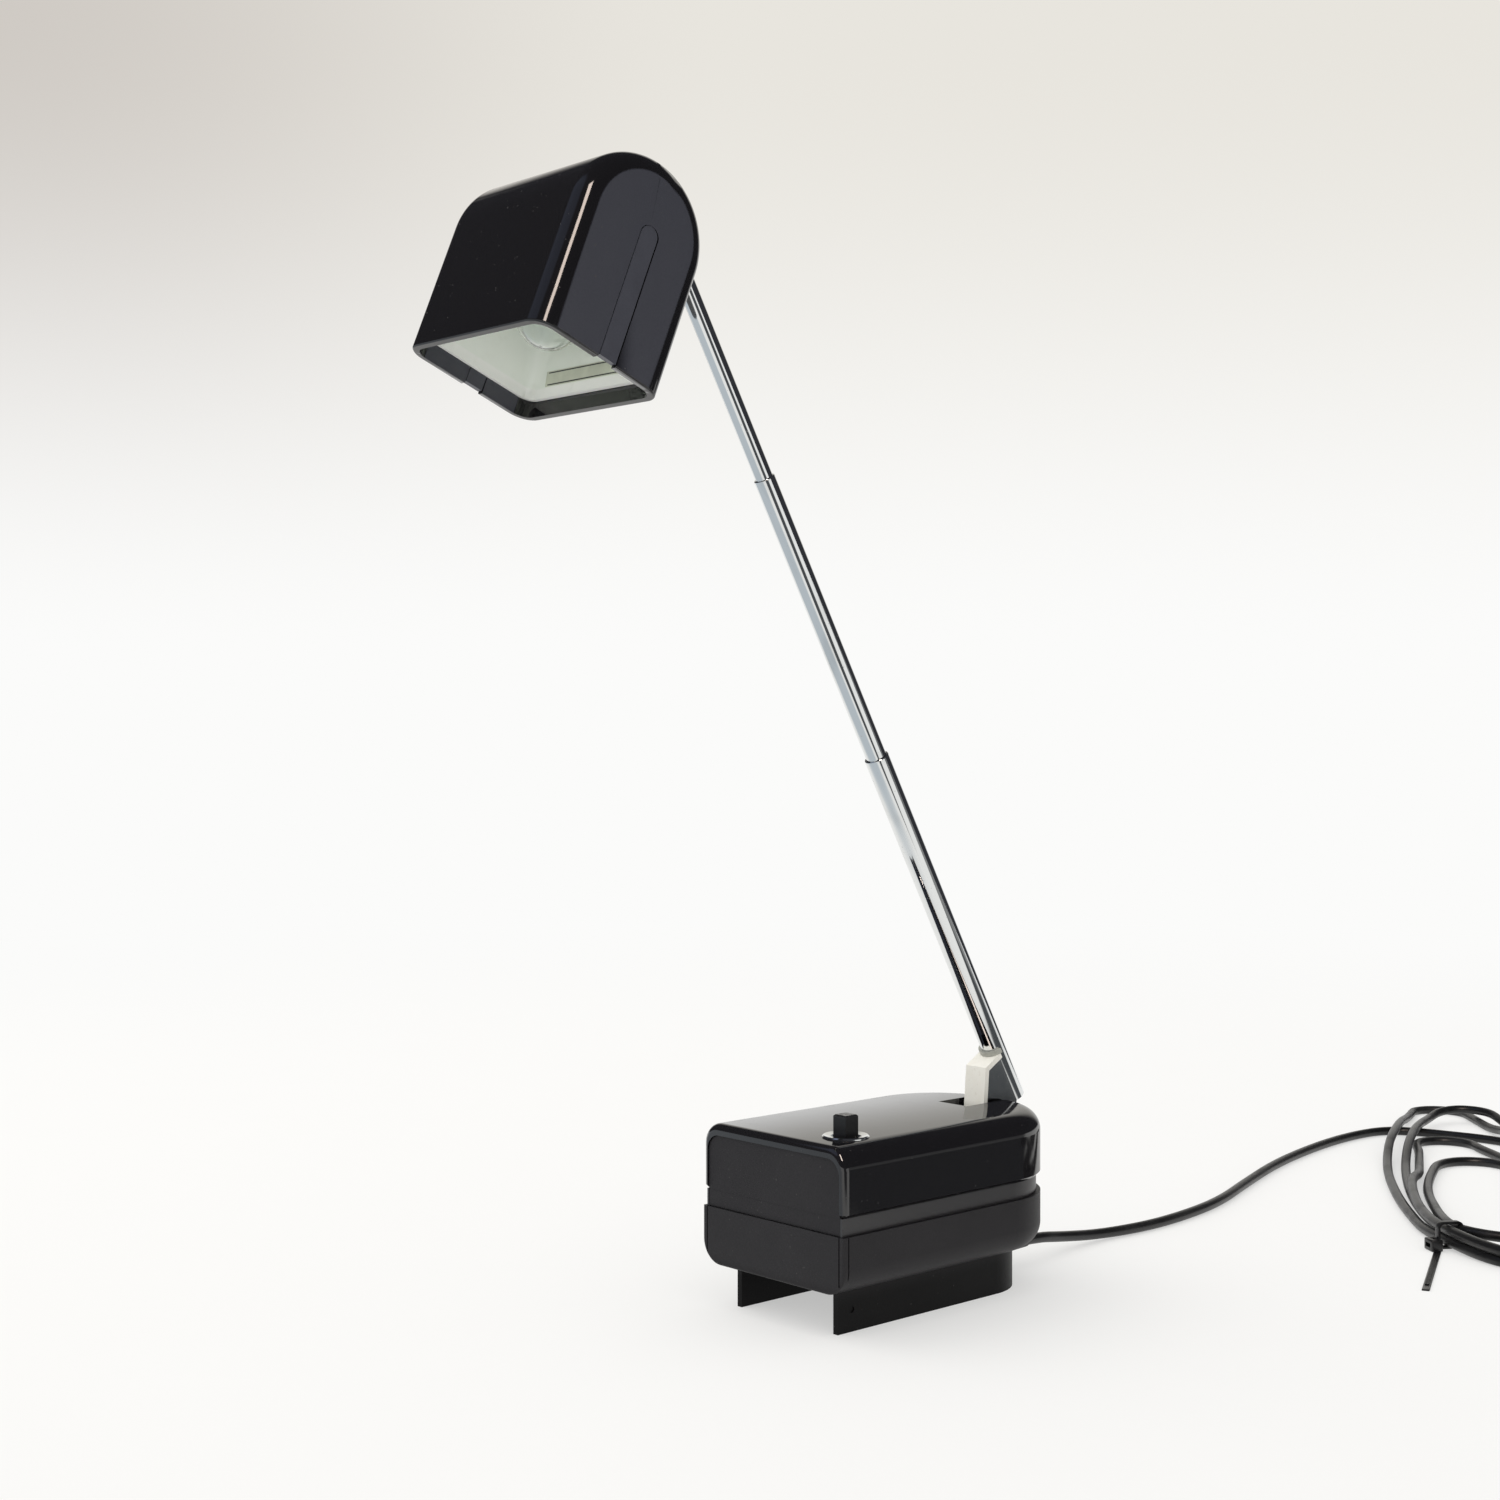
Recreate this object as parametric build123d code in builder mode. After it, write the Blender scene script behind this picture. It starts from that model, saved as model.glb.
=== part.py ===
"""Folding low-voltage desk lamp: transformer base, telescopic arm and tilting lamp head.

Millimetres.  X runs across the base, -Y is the front, +Z is up.  The origin lies on the
floor, on the centre plane, half way along the base.
"""
from build123d import *
import math
import os

os.makedirs("parts", exist_ok=True)

# ---------------------------------------------------------------- general fits
pin_clearance = 0.05          # radial play of a turning pin
slide_clearance = 0.05        # radial play of a telescoping guide
fit_clearance = 0.02          # radial play of a fixed pin or screw in its hole
seam = 0.15                   # gap beside an inset panel

# ---------------------------------------------------------------- base housing
base_width = 61.3
base_length = 104.0
base_top = 56.1               # height of the flat top
body_bottom = 13.15           # underside of the housing, above the skirt
shell_line = 30.5             # joint between the lower shell and the cover
belt_top = 35.8               # upper edge of the recessed belt
belt_depth = 1.35
rear_flat = 5.3               # straight stretch between the rear rounds
top_edge_radius = 6.5
bottom_edge_radius = 7.5
front_edge_radius = 2.2       # round of the cover's front outline
shell_front_radius = 0.8      # round of the lower shell's front outline
housing_wall = 2.6
front_wall = 3.6
floor_thickness = 2.2

base_front = -base_length / 2
base_rear = base_length / 2
rear_radius = (base_width - rear_flat) / 2      # plan radius of the arched rear
floor_top = body_bottom + floor_thickness
cover_ceiling = base_top - housing_wall

# Skirt rail under the housing
skirt_inset = 8.85            # from the housing's sides and rear
skirt_front_inset = 6.3       # from the housing's front
skirt_wall = 1.9
skirt_mark = 1.0              # radius of the small dimple on the skirt's side
skirt_mark_depth = 0.3

# Inset front panel
panel_rim = 2.0               # rim beside the panel
panel_band = 3.5              # rim above the panel
panel_corner = 5.0
panel_inset = 0.6
pocket_depth = 2.0
panel_step = 0.15             # belt band's set-back on the panel

# Corner grooves of the lower shell
groove_width = 0.5
groove_depth = 0.5
groove_bottom = 3.0           # above the housing's underside
groove_from_corner = 2.0

# ---------------------------------------------------------------- arm hinge
hinge_setback = 3.7           # hinge pin of the arm, from the base's rear
pin_y = base_rear - hinge_setback
pin_z = 51.0
pin_radius = 1.5
pin_head_radius = 2.2
pin_head = 0.4
arm_offset = 9.3              # tube axis to hinge pin
arm_lean = 29.7               # degrees, forward of upright
slot_reach = 21.0             # how far the slot runs ahead of the pin
slot_front = pin_y - slot_reach
slot_half = 6.1
slot_floor = 44.5             # how far the slot cuts down the rear wall

yoke_gap = 9.4                # between the yoke's ears
yoke_sheet = 0.9
yoke_eye = 3.0                # outer radius of an ear around the pin
yoke_ear_depth = 8.0
yoke_plate_z = 29.0
yoke_plate_sheet = 1.5
yoke_plate_width = 24.8
yoke_plate_depth = 9.0
yoke_screw_x = 9.6
yoke_screw_radius = 1.4
yoke_screw_head = 2.6
yoke_screw_head_height = 1.6
yoke_screw_length = 8.0
yoke_post_radius = 3.2

# Foot of the arm
foot_width = 8.5              # over the cheeks
foot_sheet = 1.0
foot_eye = 4.2
foot_rear = 6.6               # rear edge of the cheeks, from the pin
foot_low = 0.8                # lower end of that edge, along the tube
hood_wall = 1.7
hood_top = 18.7               # along the tube, above the hinge pin
hood_lean = 34.5              # degrees between the hood's front and the tube
hood_low_n = -10.8            # lower front corner of the hood
hood_low_t = 3.9
collar_height = 1.6
collar_radius = 4.75

# ---------------------------------------------------------------- telescopic arm
lower_outer = 7.8
lower_inner = 6.9
lower_length = 129.0
middle_outer = 6.5
middle_inner = 5.8
middle_start = 104.0
middle_end = 224.3
upper_outer = 5.4
upper_inner = 4.6
upper_start = 199.3
upper_end = 313.7
mouth_roll = 1.6              # rolled-in mouth of a tube
mouth_round = 0.3
ring_height = 7.0             # guide ring at the foot of a sliding tube
end_plug = 4.0                # insulating plug in the foot of a tube
core_rod_outer = 1.6
core_mid_outer = 2.4
core_upper_outer = 3.3
core_upper_inner = 2.56
core_mid_inner = 1.76
core_rod_top = 120.0
core_mid_top = 220.0
core_upper_top = 309.0

# Bracket at the top of the arm
head_pin_t = 310.7            # along the tube axis
head_pin_offset = 13.3        # in front of the tube axis
bracket_width = 6.6
bracket_eye = 3.1
bracket_neck = 9.0            # length of the narrow part
bracket_half = 5.0            # half height around the tube
bracket_wrap = 1.0            # wall around the tube

# ---------------------------------------------------------------- lamp head
head_pitch = 20.8             # degrees, mouth turned towards the front
head_width = 58.8
head_depth = 41.5
arch_centre = 42.75           # above the mouth
head_edge_radius = 6.0
head_wall = 2.0
mouth_edge_radius = 0.6
head_pin_v = 12.0             # behind the head's centre plane
head_pin_u = 54.8             # above the mouth
head_slot_half = 3.6
head_slot_play = 0.3
head_boss_radius = 3.6
head_boss_width = 4.4
arch_radius = head_depth / 2

# Tongues let into the end faces
tongue_width = 6.0
tongue_centre = 2.7
tongue_top = 41.3
tongue_foot = 0.7
tongue_sink = 0.15

# Reflector
reflector_set_back = 5.0
reflector_lip = 3.0
reflector_wall = 1.1
reflector_play = 0.3
reflector_corner = 4.0
reflector_top = 34.0
reflector_top_width = 41.0
reflector_top_depth = 27.0
reflector_top_corner = 9.0
reflector_hole = 8.9

# Lamp and holder
cap_radius = 7.5
cap_start = 31.5
cap_end = 45.5
cap_wall = 0.6
cap_lip = 1.2                 # thickness of the cap's two ends
cap_pin_radius = 1.0
cap_pin_reach = 8.4
cap_pin_u = 41.0
cap_tip_radius = 1.6
cap_tip_height = 0.7
globe_radius = 9.5
globe_centre = 17.5
neck_radius = 6.6
glass_wall = 0.7
socket_wall = 0.8
socket_play = 0.1
socket_flange = 11.5
socket_sheet = 1.0
socket_end = 50.0
socket_slot = 2.5
insulator_height = 2.5
contact_radius = 1.5
wire_radius = 0.3
filament_u = 18.0
filament_half = 3.2
stem_radius = 2.2
stem_height = 4.0

# ---------------------------------------------------------------- switch
switch_side_inset = 13.35     # from the base's right side
switch_front_inset = 14.0     # from the base's front
switch_x = base_width / 2 - switch_side_inset
switch_y = base_front + switch_front_inset
bezel_radius = 7.0
bezel_height = 0.7
bezel_rim = 0.35              # upright part of the edge
bezel_dish = 0.18             # height of the dish's bottom
bezel_neck = 4.9
bezel_bore = 3.8
bezel_tail = 1.6              # below the cover's ceiling
knob_width = 5.2
knob_chamfer = 0.43
knob_top = 62.8
knob_flange = 3.95
knob_flange_height = 1.8
knob_travel = 2.5
knob_rest_gap = 0.1
knob_stem = 1.5
knob_stem_length = 5.0
switch_width = 12.0
switch_depth = 10.6
switch_corner = 0.5
switch_play = 0.5             # under the pressed knob's flange
switch_bottom = 38.0
switch_lug = 4.0
switch_lug_width = 2.4
switch_lug_sheet = 0.6
switch_lug_pitch = 5.0

# ---------------------------------------------------------------- transformer
core_side_room = 6.65         # from the core to the base's sides
core_front_room = 20.0        # from the core to the base's front
core_rear_room = 44.0         # from the core to the base's rear
core_width = base_width - 2 * core_side_room
core_depth = base_length - core_front_room - core_rear_room
core_stack = 20.5
core_y = (core_front_room - core_rear_room) / 2
core_z = 24.35
core_leg = core_width / 3
window_width = core_leg / 2
window_depth = core_depth - core_leg
core_hole_radius = 2.0
core_hole_inset = 4.0
core_post_radius = 3.6
core_screw_head = 3.3
core_screw_head_height = 2.0
core_screw_depth = 6.0
bobbin_wall = 1.0
bobbin_play = 0.2
bobbin_side_play = 0.3        # from the bobbin's cheeks to the core's outer legs
bobbin_overhang = 7.25        # how far the cheeks stand out over the core
bobbin_width = core_leg + 2 * window_width - 2 * bobbin_side_play
bobbin_height = core_stack + 2 * bobbin_overhang
bobbin_flange = 1.0
primary_share = 0.55          # of the winding length
winding_inset = 0.9
winding_corner = 4.0

# Housing screws
screw_radius = 1.5
screw_head_radius = 2.9
screw_head_height = 1.8
screw_recess = 3.2
screw_post_radius = 4.6
screw_boss_radius = 3.5
screw_top = 40.0
front_screw_inset = 12.0      # from the base's front
rear_screw_inset = 32.0       # from the base's rear
rear_screw_side_inset = 15.65
front_screw_y = base_front + front_screw_inset
rear_screw_x = base_width / 2 - rear_screw_side_inset
rear_screw_y = base_rear - rear_screw_inset

# ---------------------------------------------------------------- cord
cord_diameter = 3.6
cord_exit_z = 7.2
cord_straight = 22.6          # first stretch, straight out of the base
bushing_radius = 2.7
bushing_flange = 3.3
bushing_flange_height = 1.2
bushing_depth = 7.0
bushing_bore = 1.3            # inside the wall, for the two cores
sleeve_root = 3.1             # radius of the bending sleeve at its flange
sleeve_tip = 2.4
sleeve_length = 18.0
sleeve_play = 0.05            # around the cord
gland_block_width = 12.0
gland_block_depth = 8.0
gland_block_foot = 3.4
coil_height = 9.2
cord_pocket = 14.0            # length of the cord that lies in the hank's pocket
bundle_width = 9.4            # over the tie's strap
tie_width = 2.4
tie_sheet = 1.0
tie_gap = 0.3
tie_head = 5.0
tie_head_depth = 4.4
tie_head_height = 4.0
tie_tail = 55.0
plug_place = 0.53             # share of the way round the hank's border
plug_gap = 0.3
plug_width = 35.0
plug_height = 13.7
plug_length = 26.0
plug_rear_width = 18.0        # at the cord end
plug_rear_height = 9.5
plug_corner = 3.0
plug_neck_length = 12.0
plug_neck_radius = 3.6
plug_neck_taper = 1.0
plug_pin_pitch = 19.0
plug_pin_radius = 2.0
plug_pin_length = 19.0

# ---------------------------------------------------------------- reference planes
lean = math.radians(arm_lean)
pitch = math.radians(head_pitch)
along = Vector(0, -math.sin(lean), math.cos(lean))      # up the tube
behind = Vector(0, math.cos(lean), math.sin(lean))      # from the hinge pin to the tube
head_up = Vector(0, math.sin(pitch), math.cos(pitch))   # from the mouth into the head
head_back = Vector(0, math.cos(pitch), -math.sin(pitch))

hinge_point = Vector(0, pin_y, pin_z)
tube_foot = hinge_point + behind * arm_offset
head_point = tube_foot + along * head_pin_t - behind * head_pin_offset
mouth_centre = head_point - head_back * head_pin_v - head_up * head_pin_u

front_face = Plane(origin=(0, base_front, 0), x_dir=(1, 0, 0), z_dir=(0, -1, 0))
foot_side = Plane(origin=hinge_point, x_dir=behind, z_dir=(1, 0, 0))
bracket_side = Plane(origin=head_point, x_dir=behind, z_dir=(1, 0, 0))
head_side = Plane(origin=mouth_centre, x_dir=head_back, z_dir=(1, 0, 0))
lamp_axis = Axis(mouth_centre, head_up)


def station(distance):
    """Plane across the arm's tube at a distance up its axis."""
    return Plane(origin=tube_foot + along * distance, x_dir=(1, 0, 0), z_dir=along)


def mouth_plane(height):
    """Plane parallel to the lamp head's mouth, at a height above it."""
    return Plane(origin=mouth_centre + head_up * height, x_dir=(1, 0, 0), z_dir=head_up)


def end_face(side):
    """Plane of one end face of the lamp head; its x runs back and its y up the head."""
    return head_side.offset(side * head_width / 2)


def arched_plan(width, front, rear, radius):
    """Plan of a base piece: flat front, straight sides and round rear corners."""
    with BuildSketch() as plan:
        with Locations((0, (front + rear) / 2)):
            Rectangle(width, rear - front)
        fillet(plan.vertices().group_by(Axis.Y)[-1], radius)
    return plan.sketch


def housing_plan(inset, front_inset):
    """Plan of the housing moved inwards."""
    return arched_plan(
        base_width - 2 * inset, base_front + front_inset, base_rear - inset, rear_radius - inset
    )


def panel_outline(gap):
    """Outline of the front panel: square at the foot, rounded at the top."""
    width = base_width - 2 * panel_rim - 2 * gap
    top = base_top - panel_band - gap
    foot = shell_line + gap
    with BuildSketch() as outline:
        with Locations((0, (top + foot) / 2)):
            Rectangle(width, top - foot)
        fillet(outline.vertices().group_by(Axis.Y)[-1], panel_corner - gap)
    return outline.sketch


def arch_outline(inset, foot):
    """Side outline of the lamp head: an arch that stands on the mouth."""
    half = arch_radius - inset
    with BuildSketch() as outline:
        with BuildLine():
            Line((-half, foot), (-half, arch_centre))
            ThreePointArc((-half, arch_centre), (0, arch_centre + half), (half, arch_centre))
            Line((half, arch_centre), (half, foot))
            Line((half, foot), (-half, foot))
        make_face()
    return outline.sketch


def end_outlines(part):
    """Edges that run around the two end faces of an arch, without those at its mouth."""
    ends = part.faces().filter_by(Axis.X).edges()
    return ends.filter_by(lambda edge: (edge.center() - mouth_centre).dot(head_up) > arch_centre / 4)


# ---------------------------------------------------------------- base: cover
housing_screws = [(0, front_screw_y), (rear_screw_x, rear_screw_y), (-rear_screw_x, rear_screw_y)]

with BuildPart() as cover_cavity:
    with BuildSketch(Plane.XY.offset(shell_line)):
        add(housing_plan(housing_wall, front_wall))
    extrude(amount=cover_ceiling - shell_line)
    fillet(cover_cavity.faces().sort_by(Axis.Z)[-1].edges(), top_edge_radius - housing_wall)

with BuildPart() as upper_cover:
    with BuildSketch(Plane.XY.offset(belt_top)):
        add(housing_plan(0, 0))
    extrude(amount=base_top - belt_top)
    crown = upper_cover.faces().sort_by(Axis.Z)[-1].edges().sort_by(Axis.Y)
    fillet(crown[1:], top_edge_radius)
    outline = upper_cover.faces().sort_by(Axis.Y)[0].edges().sort_by(Axis.Z)
    fillet(outline[1:], front_edge_radius)
    lip = upper_cover.faces().sort_by(Axis.Z)[0].edges().sort_by(Axis.Y)
    chamfer(lip[1:], belt_depth - panel_inset / 2)
    # Recessed belt above the joint
    with BuildSketch(Plane.XY.offset(shell_line)):
        add(housing_plan(belt_depth, panel_inset))
    extrude(amount=belt_top - shell_line)
    add(cover_cavity.part, mode=Mode.SUBTRACT)
    # Pocket for the front panel
    with BuildSketch(front_face):
        add(panel_outline(0))
        with Locations((0, shell_line)):
            Rectangle(base_width - 2 * panel_rim, 2 * panel_corner)
    extrude(amount=-pocket_depth, mode=Mode.SUBTRACT)
    # Screw bosses that hang from the ceiling
    with BuildSketch(Plane.XY.offset(shell_line)):
        with Locations(*housing_screws):
            Circle(screw_boss_radius)
    extrude(amount=cover_ceiling + housing_wall / 2 - shell_line)
    with BuildSketch(Plane.XY.offset(shell_line)):
        with Locations(*housing_screws):
            Circle(screw_radius + fit_clearance)
    extrude(amount=screw_top + screw_radius - shell_line, mode=Mode.SUBTRACT)
    # Slot in which the arm's foot swings, open through the rear edge
    with BuildSketch(Plane.XY.offset(slot_floor)):
        with Locations((0, (slot_front + base_rear) / 2 + housing_wall)):
            Rectangle(2 * slot_half, base_rear - slot_front + 2 * housing_wall)
    extrude(amount=base_top - slot_floor, mode=Mode.SUBTRACT)
    # Hole for the switch
    with BuildSketch(Plane.XY.offset(base_top)):
        with Locations((switch_x, switch_y)):
            Circle(bezel_neck + fit_clearance)
    extrude(amount=-2 * housing_wall, mode=Mode.SUBTRACT)

with BuildPart() as front_panel:
    with BuildSketch(front_face.offset(-pocket_depth)):
        add(panel_outline(seam))
    extrude(amount=pocket_depth - panel_inset)
    # Belt band, a shade further back than the panel above it
    with BuildSketch(front_face.offset(-panel_inset - panel_step)):
        with Locations((0, (shell_line + belt_top) / 2)):
            Rectangle(base_width, belt_top - shell_line)
    extrude(amount=panel_step, mode=Mode.SUBTRACT)

# ---------------------------------------------------------------- base: lower shell
core_corners = [
    (side * (core_width / 2 - core_hole_inset), core_y + end * (core_depth / 2 - core_hole_inset))
    for side in (-1, 1)
    for end in (-1, 1)
]
yoke_plate_y = pin_y - yoke_ear_depth / 2 - pin_head_radius
yoke_screws = [(-yoke_screw_x, yoke_plate_y), (yoke_screw_x, yoke_plate_y)]
skirt_rear = base_rear - skirt_inset

with BuildPart() as shell_cavity:
    with BuildSketch(Plane.XY.offset(floor_top)):
        add(housing_plan(housing_wall, front_wall))
    extrude(amount=shell_line - floor_top)
    fillet(shell_cavity.faces().sort_by(Axis.Z)[0].edges(), bottom_edge_radius - housing_wall)

with BuildPart() as lower_shell:
    with BuildSketch(Plane.XY.offset(body_bottom)):
        add(housing_plan(0, 0))
    extrude(amount=shell_line - body_bottom)
    keel = lower_shell.faces().sort_by(Axis.Z)[0].edges().sort_by(Axis.Y)
    fillet(keel[1:], bottom_edge_radius)
    outline = lower_shell.faces().sort_by(Axis.Y)[0].edges().filter_by(Axis.Z)
    fillet(outline, shell_front_radius)
    add(shell_cavity.part, mode=Mode.SUBTRACT)
    # Skirt rail, open at the front
    with BuildSketch() as rail:
        add(
            arched_plan(
                base_width - 2 * skirt_inset,
                base_front + skirt_front_inset,
                skirt_rear,
                rear_radius - skirt_inset,
            )
        )
        add(
            arched_plan(
                base_width - 2 * (skirt_inset + skirt_wall),
                base_front,
                skirt_rear - skirt_wall,
                rear_radius - skirt_inset - skirt_wall,
            ),
            mode=Mode.SUBTRACT,
        )
    extrude(amount=body_bottom)
    # Block behind the rail that holds the cord's bushing
    with BuildSketch(Plane.XY.offset(gland_block_foot)):
        with Locations((0, skirt_rear - skirt_wall - gland_block_depth / 2)):
            Rectangle(gland_block_width, gland_block_depth + skirt_wall)
    extrude(amount=body_bottom - gland_block_foot)
    with BuildSketch(Plane(origin=(0, skirt_rear, cord_exit_z), z_dir=(0, 1, 0))):
        Circle(bushing_radius + fit_clearance)
    extrude(amount=-bushing_depth, mode=Mode.SUBTRACT)
    # Small dimples on the rail's sides
    for side in (-1, 1):
        with BuildSketch(
            Plane(
                origin=(side * (base_width / 2 - skirt_inset), front_screw_y, body_bottom / 2),
                z_dir=(side, 0, 0),
            )
        ):
            Circle(skirt_mark)
        extrude(amount=-skirt_mark_depth, mode=Mode.SUBTRACT)
    # Posts for the housing screws, the transformer and the hinge yoke
    with BuildSketch(Plane.XY.offset(body_bottom + floor_thickness / 2)):
        with Locations(*housing_screws):
            Circle(screw_post_radius)
    extrude(amount=shell_line - body_bottom - floor_thickness / 2)
    with BuildSketch(Plane.XY.offset(body_bottom + floor_thickness / 2)):
        with Locations(*core_corners):
            Circle(core_post_radius)
    extrude(amount=core_z - body_bottom - floor_thickness / 2)
    with BuildSketch(Plane.XY.offset(body_bottom + floor_thickness)):
        with Locations(*yoke_screws):
            Circle(yoke_post_radius)
    extrude(amount=yoke_plate_z - body_bottom - floor_thickness)
    # Screw holes
    with BuildSketch(Plane.XY.offset(body_bottom)):
        with Locations(*housing_screws):
            Circle(screw_radius + pin_clearance)
    extrude(amount=shell_line - body_bottom, mode=Mode.SUBTRACT)
    with BuildSketch(Plane.XY.offset(body_bottom)):
        with Locations(*housing_screws):
            Circle(screw_head_radius + pin_clearance)
    extrude(amount=screw_recess, mode=Mode.SUBTRACT)
    with BuildSketch(Plane.XY.offset(core_z - core_screw_depth)):
        with Locations(*core_corners):
            Circle(core_hole_radius - pin_clearance)
    extrude(amount=core_screw_depth, mode=Mode.SUBTRACT)
    with BuildSketch(Plane.XY.offset(yoke_plate_z - yoke_screw_length)):
        with Locations(*yoke_screws):
            Circle(yoke_screw_radius + fit_clearance)
    extrude(amount=yoke_screw_length, mode=Mode.SUBTRACT)
    # Upright grooves beside the front corners
    groove_height = shell_line - body_bottom - groove_bottom
    groove_middle = shell_line - groove_height / 2
    with BuildSketch(front_face):
        with Locations(
            (base_width / 2 - groove_from_corner, groove_middle),
            (groove_from_corner - base_width / 2, groove_middle),
        ):
            Rectangle(groove_width, groove_height)
    extrude(amount=-groove_depth, mode=Mode.SUBTRACT)
    for side in (-1, 1):
        with BuildSketch(
            Plane(
                origin=(side * base_width / 2, base_front + groove_from_corner, groove_middle),
                x_dir=(0, 1, 0),
                z_dir=(side, 0, 0),
            )
        ):
            Rectangle(groove_width, groove_height)
        extrude(amount=-groove_depth, mode=Mode.SUBTRACT)

with BuildPart() as housing_screw_set:
    with BuildSketch(Plane.XY.offset(body_bottom + screw_recess - screw_head_height)):
        with Locations(*housing_screws):
            Circle(screw_head_radius)
    extrude(amount=screw_head_height)
    with BuildSketch(Plane.XY.offset(body_bottom + screw_recess)):
        with Locations(*housing_screws):
            Circle(screw_radius)
    extrude(amount=screw_top - body_bottom - screw_recess)

# ---------------------------------------------------------------- base: transformer
core_middle = core_z + core_stack / 2
bobbin_length = window_depth - 2 * bobbin_play
winding_room = bobbin_length - 3 * bobbin_flange
primary_length = winding_room * primary_share
secondary_length = winding_room - primary_length
bobbin_start = core_y - bobbin_length / 2


def leg_plane(distance):
    """Plane across the transformer's centre leg, at a distance behind the bobbin's front."""
    return Plane(
        origin=(0, bobbin_start + distance, core_middle), x_dir=(1, 0, 0), z_dir=(0, 1, 0)
    )


sleeve_width = core_leg + 2 * (bobbin_play + bobbin_wall)
sleeve_height = core_stack + 2 * (bobbin_play + bobbin_wall)

with BuildPart() as transformer_core:
    with BuildSketch(Plane.XY.offset(core_z)):
        with Locations((0, core_y)):
            Rectangle(core_width, core_depth)
        with Locations(
            (core_leg / 2 + window_width / 2, core_y), (-core_leg / 2 - window_width / 2, core_y)
        ):
            Rectangle(window_width, window_depth, mode=Mode.SUBTRACT)
        with Locations(*core_corners):
            Circle(core_hole_radius, mode=Mode.SUBTRACT)
    extrude(amount=core_stack)

with BuildPart() as transformer_bobbin:
    with BuildSketch(leg_plane(0)):
        Rectangle(sleeve_width, sleeve_height)
    extrude(amount=bobbin_length)
    for distance in (
        0,
        bobbin_flange + primary_length,
        bobbin_length - bobbin_flange,
    ):
        with BuildSketch(leg_plane(distance)):
            Rectangle(bobbin_width, bobbin_height)
        extrude(amount=bobbin_flange)
    with BuildSketch(leg_plane(0)):
        Rectangle(core_leg + 2 * bobbin_play, core_stack + 2 * bobbin_play)
    extrude(amount=bobbin_length, mode=Mode.SUBTRACT)

with BuildPart() as primary_winding:
    with BuildSketch(leg_plane(bobbin_flange)):
        RectangleRounded(
            bobbin_width - 2 * winding_inset, bobbin_height - 2 * winding_inset, winding_corner
        )
        Rectangle(sleeve_width, sleeve_height, mode=Mode.SUBTRACT)
    extrude(amount=primary_length)

with BuildPart() as secondary_winding:
    with BuildSketch(leg_plane(2 * bobbin_flange + primary_length)):
        RectangleRounded(
            bobbin_width - 2 * winding_inset, bobbin_height - 2 * winding_inset, winding_corner
        )
        Rectangle(sleeve_width, sleeve_height, mode=Mode.SUBTRACT)
    extrude(amount=secondary_length)

with BuildPart() as transformer_screws:
    with BuildSketch(Plane.XY.offset(core_z - core_screw_depth)):
        with Locations(*core_corners):
            Circle(core_hole_radius - pin_clearance - fit_clearance)
    extrude(amount=core_stack + core_screw_depth)
    with BuildSketch(Plane.XY.offset(core_z + core_stack)):
        with Locations(*core_corners):
            Circle(core_screw_head)
    extrude(amount=core_screw_head_height)

# ---------------------------------------------------------------- base: switch
bezel_foot = cover_ceiling - bezel_tail
switch_axis = Axis((switch_x, switch_y, 0), (0, 0, 1))
flange_top = bezel_foot - knob_rest_gap

with BuildPart() as switch_bezel:
    with BuildSketch(
        Plane(origin=(switch_x, switch_y, 0), x_dir=(1, 0, 0), z_dir=(0, -1, 0))
    ):
        with BuildLine():
            Polyline(
                (bezel_bore, bezel_foot),
                (bezel_neck, bezel_foot),
                (bezel_neck, base_top),
                (bezel_radius, base_top),
                (bezel_radius, base_top + bezel_rim),
                (bezel_radius - bezel_rim, base_top + bezel_height),
                (bezel_neck, base_top + bezel_dish),
                (bezel_bore, base_top - bezel_height),
                close=True,
            )
        make_face()
    revolve(axis=switch_axis)

with BuildPart() as switch_housing:
    with BuildSketch(Plane.XY.offset(switch_bottom)):
        with Locations((switch_x, switch_y)):
            RectangleRounded(switch_width, switch_depth, switch_corner)
    extrude(amount=bezel_foot - switch_bottom)
    with BuildSketch(Plane.XY.offset(bezel_foot)):
        with Locations((switch_x, switch_y)):
            Circle(knob_flange + slide_clearance)
    bore_depth = knob_flange_height + knob_travel + switch_play
    extrude(amount=-bore_depth, mode=Mode.SUBTRACT)
    with BuildSketch(Plane.XY.offset(bezel_foot - bore_depth)):
        with Locations((switch_x, switch_y)):
            Circle(knob_stem + slide_clearance)
    extrude(amount=-knob_stem_length, mode=Mode.SUBTRACT)
    with BuildSketch(Plane.XY.offset(switch_bottom)):
        with Locations((switch_x, switch_y)):
            with GridLocations(switch_lug_pitch, 0, 2, 1):
                Rectangle(switch_lug_sheet, switch_lug_width)
    extrude(amount=-switch_lug)

with BuildPart() as push_button:
    with BuildSketch(Plane.XY.offset(flange_top)):
        with Locations((switch_x, switch_y)):
            Rectangle(knob_width, knob_width)
    extrude(amount=knob_top - flange_top)
    chamfer(push_button.faces().sort_by(Axis.Z)[-1].edges(), knob_chamfer)
    with BuildSketch(Plane.XY.offset(flange_top)):
        with Locations((switch_x, switch_y)):
            Circle(knob_flange)
    extrude(amount=-knob_flange_height)
    with BuildSketch(Plane.XY.offset(flange_top - knob_flange_height)):
        with Locations((switch_x, switch_y)):
            Circle(knob_stem)
    extrude(amount=-knob_stem_length)

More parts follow.
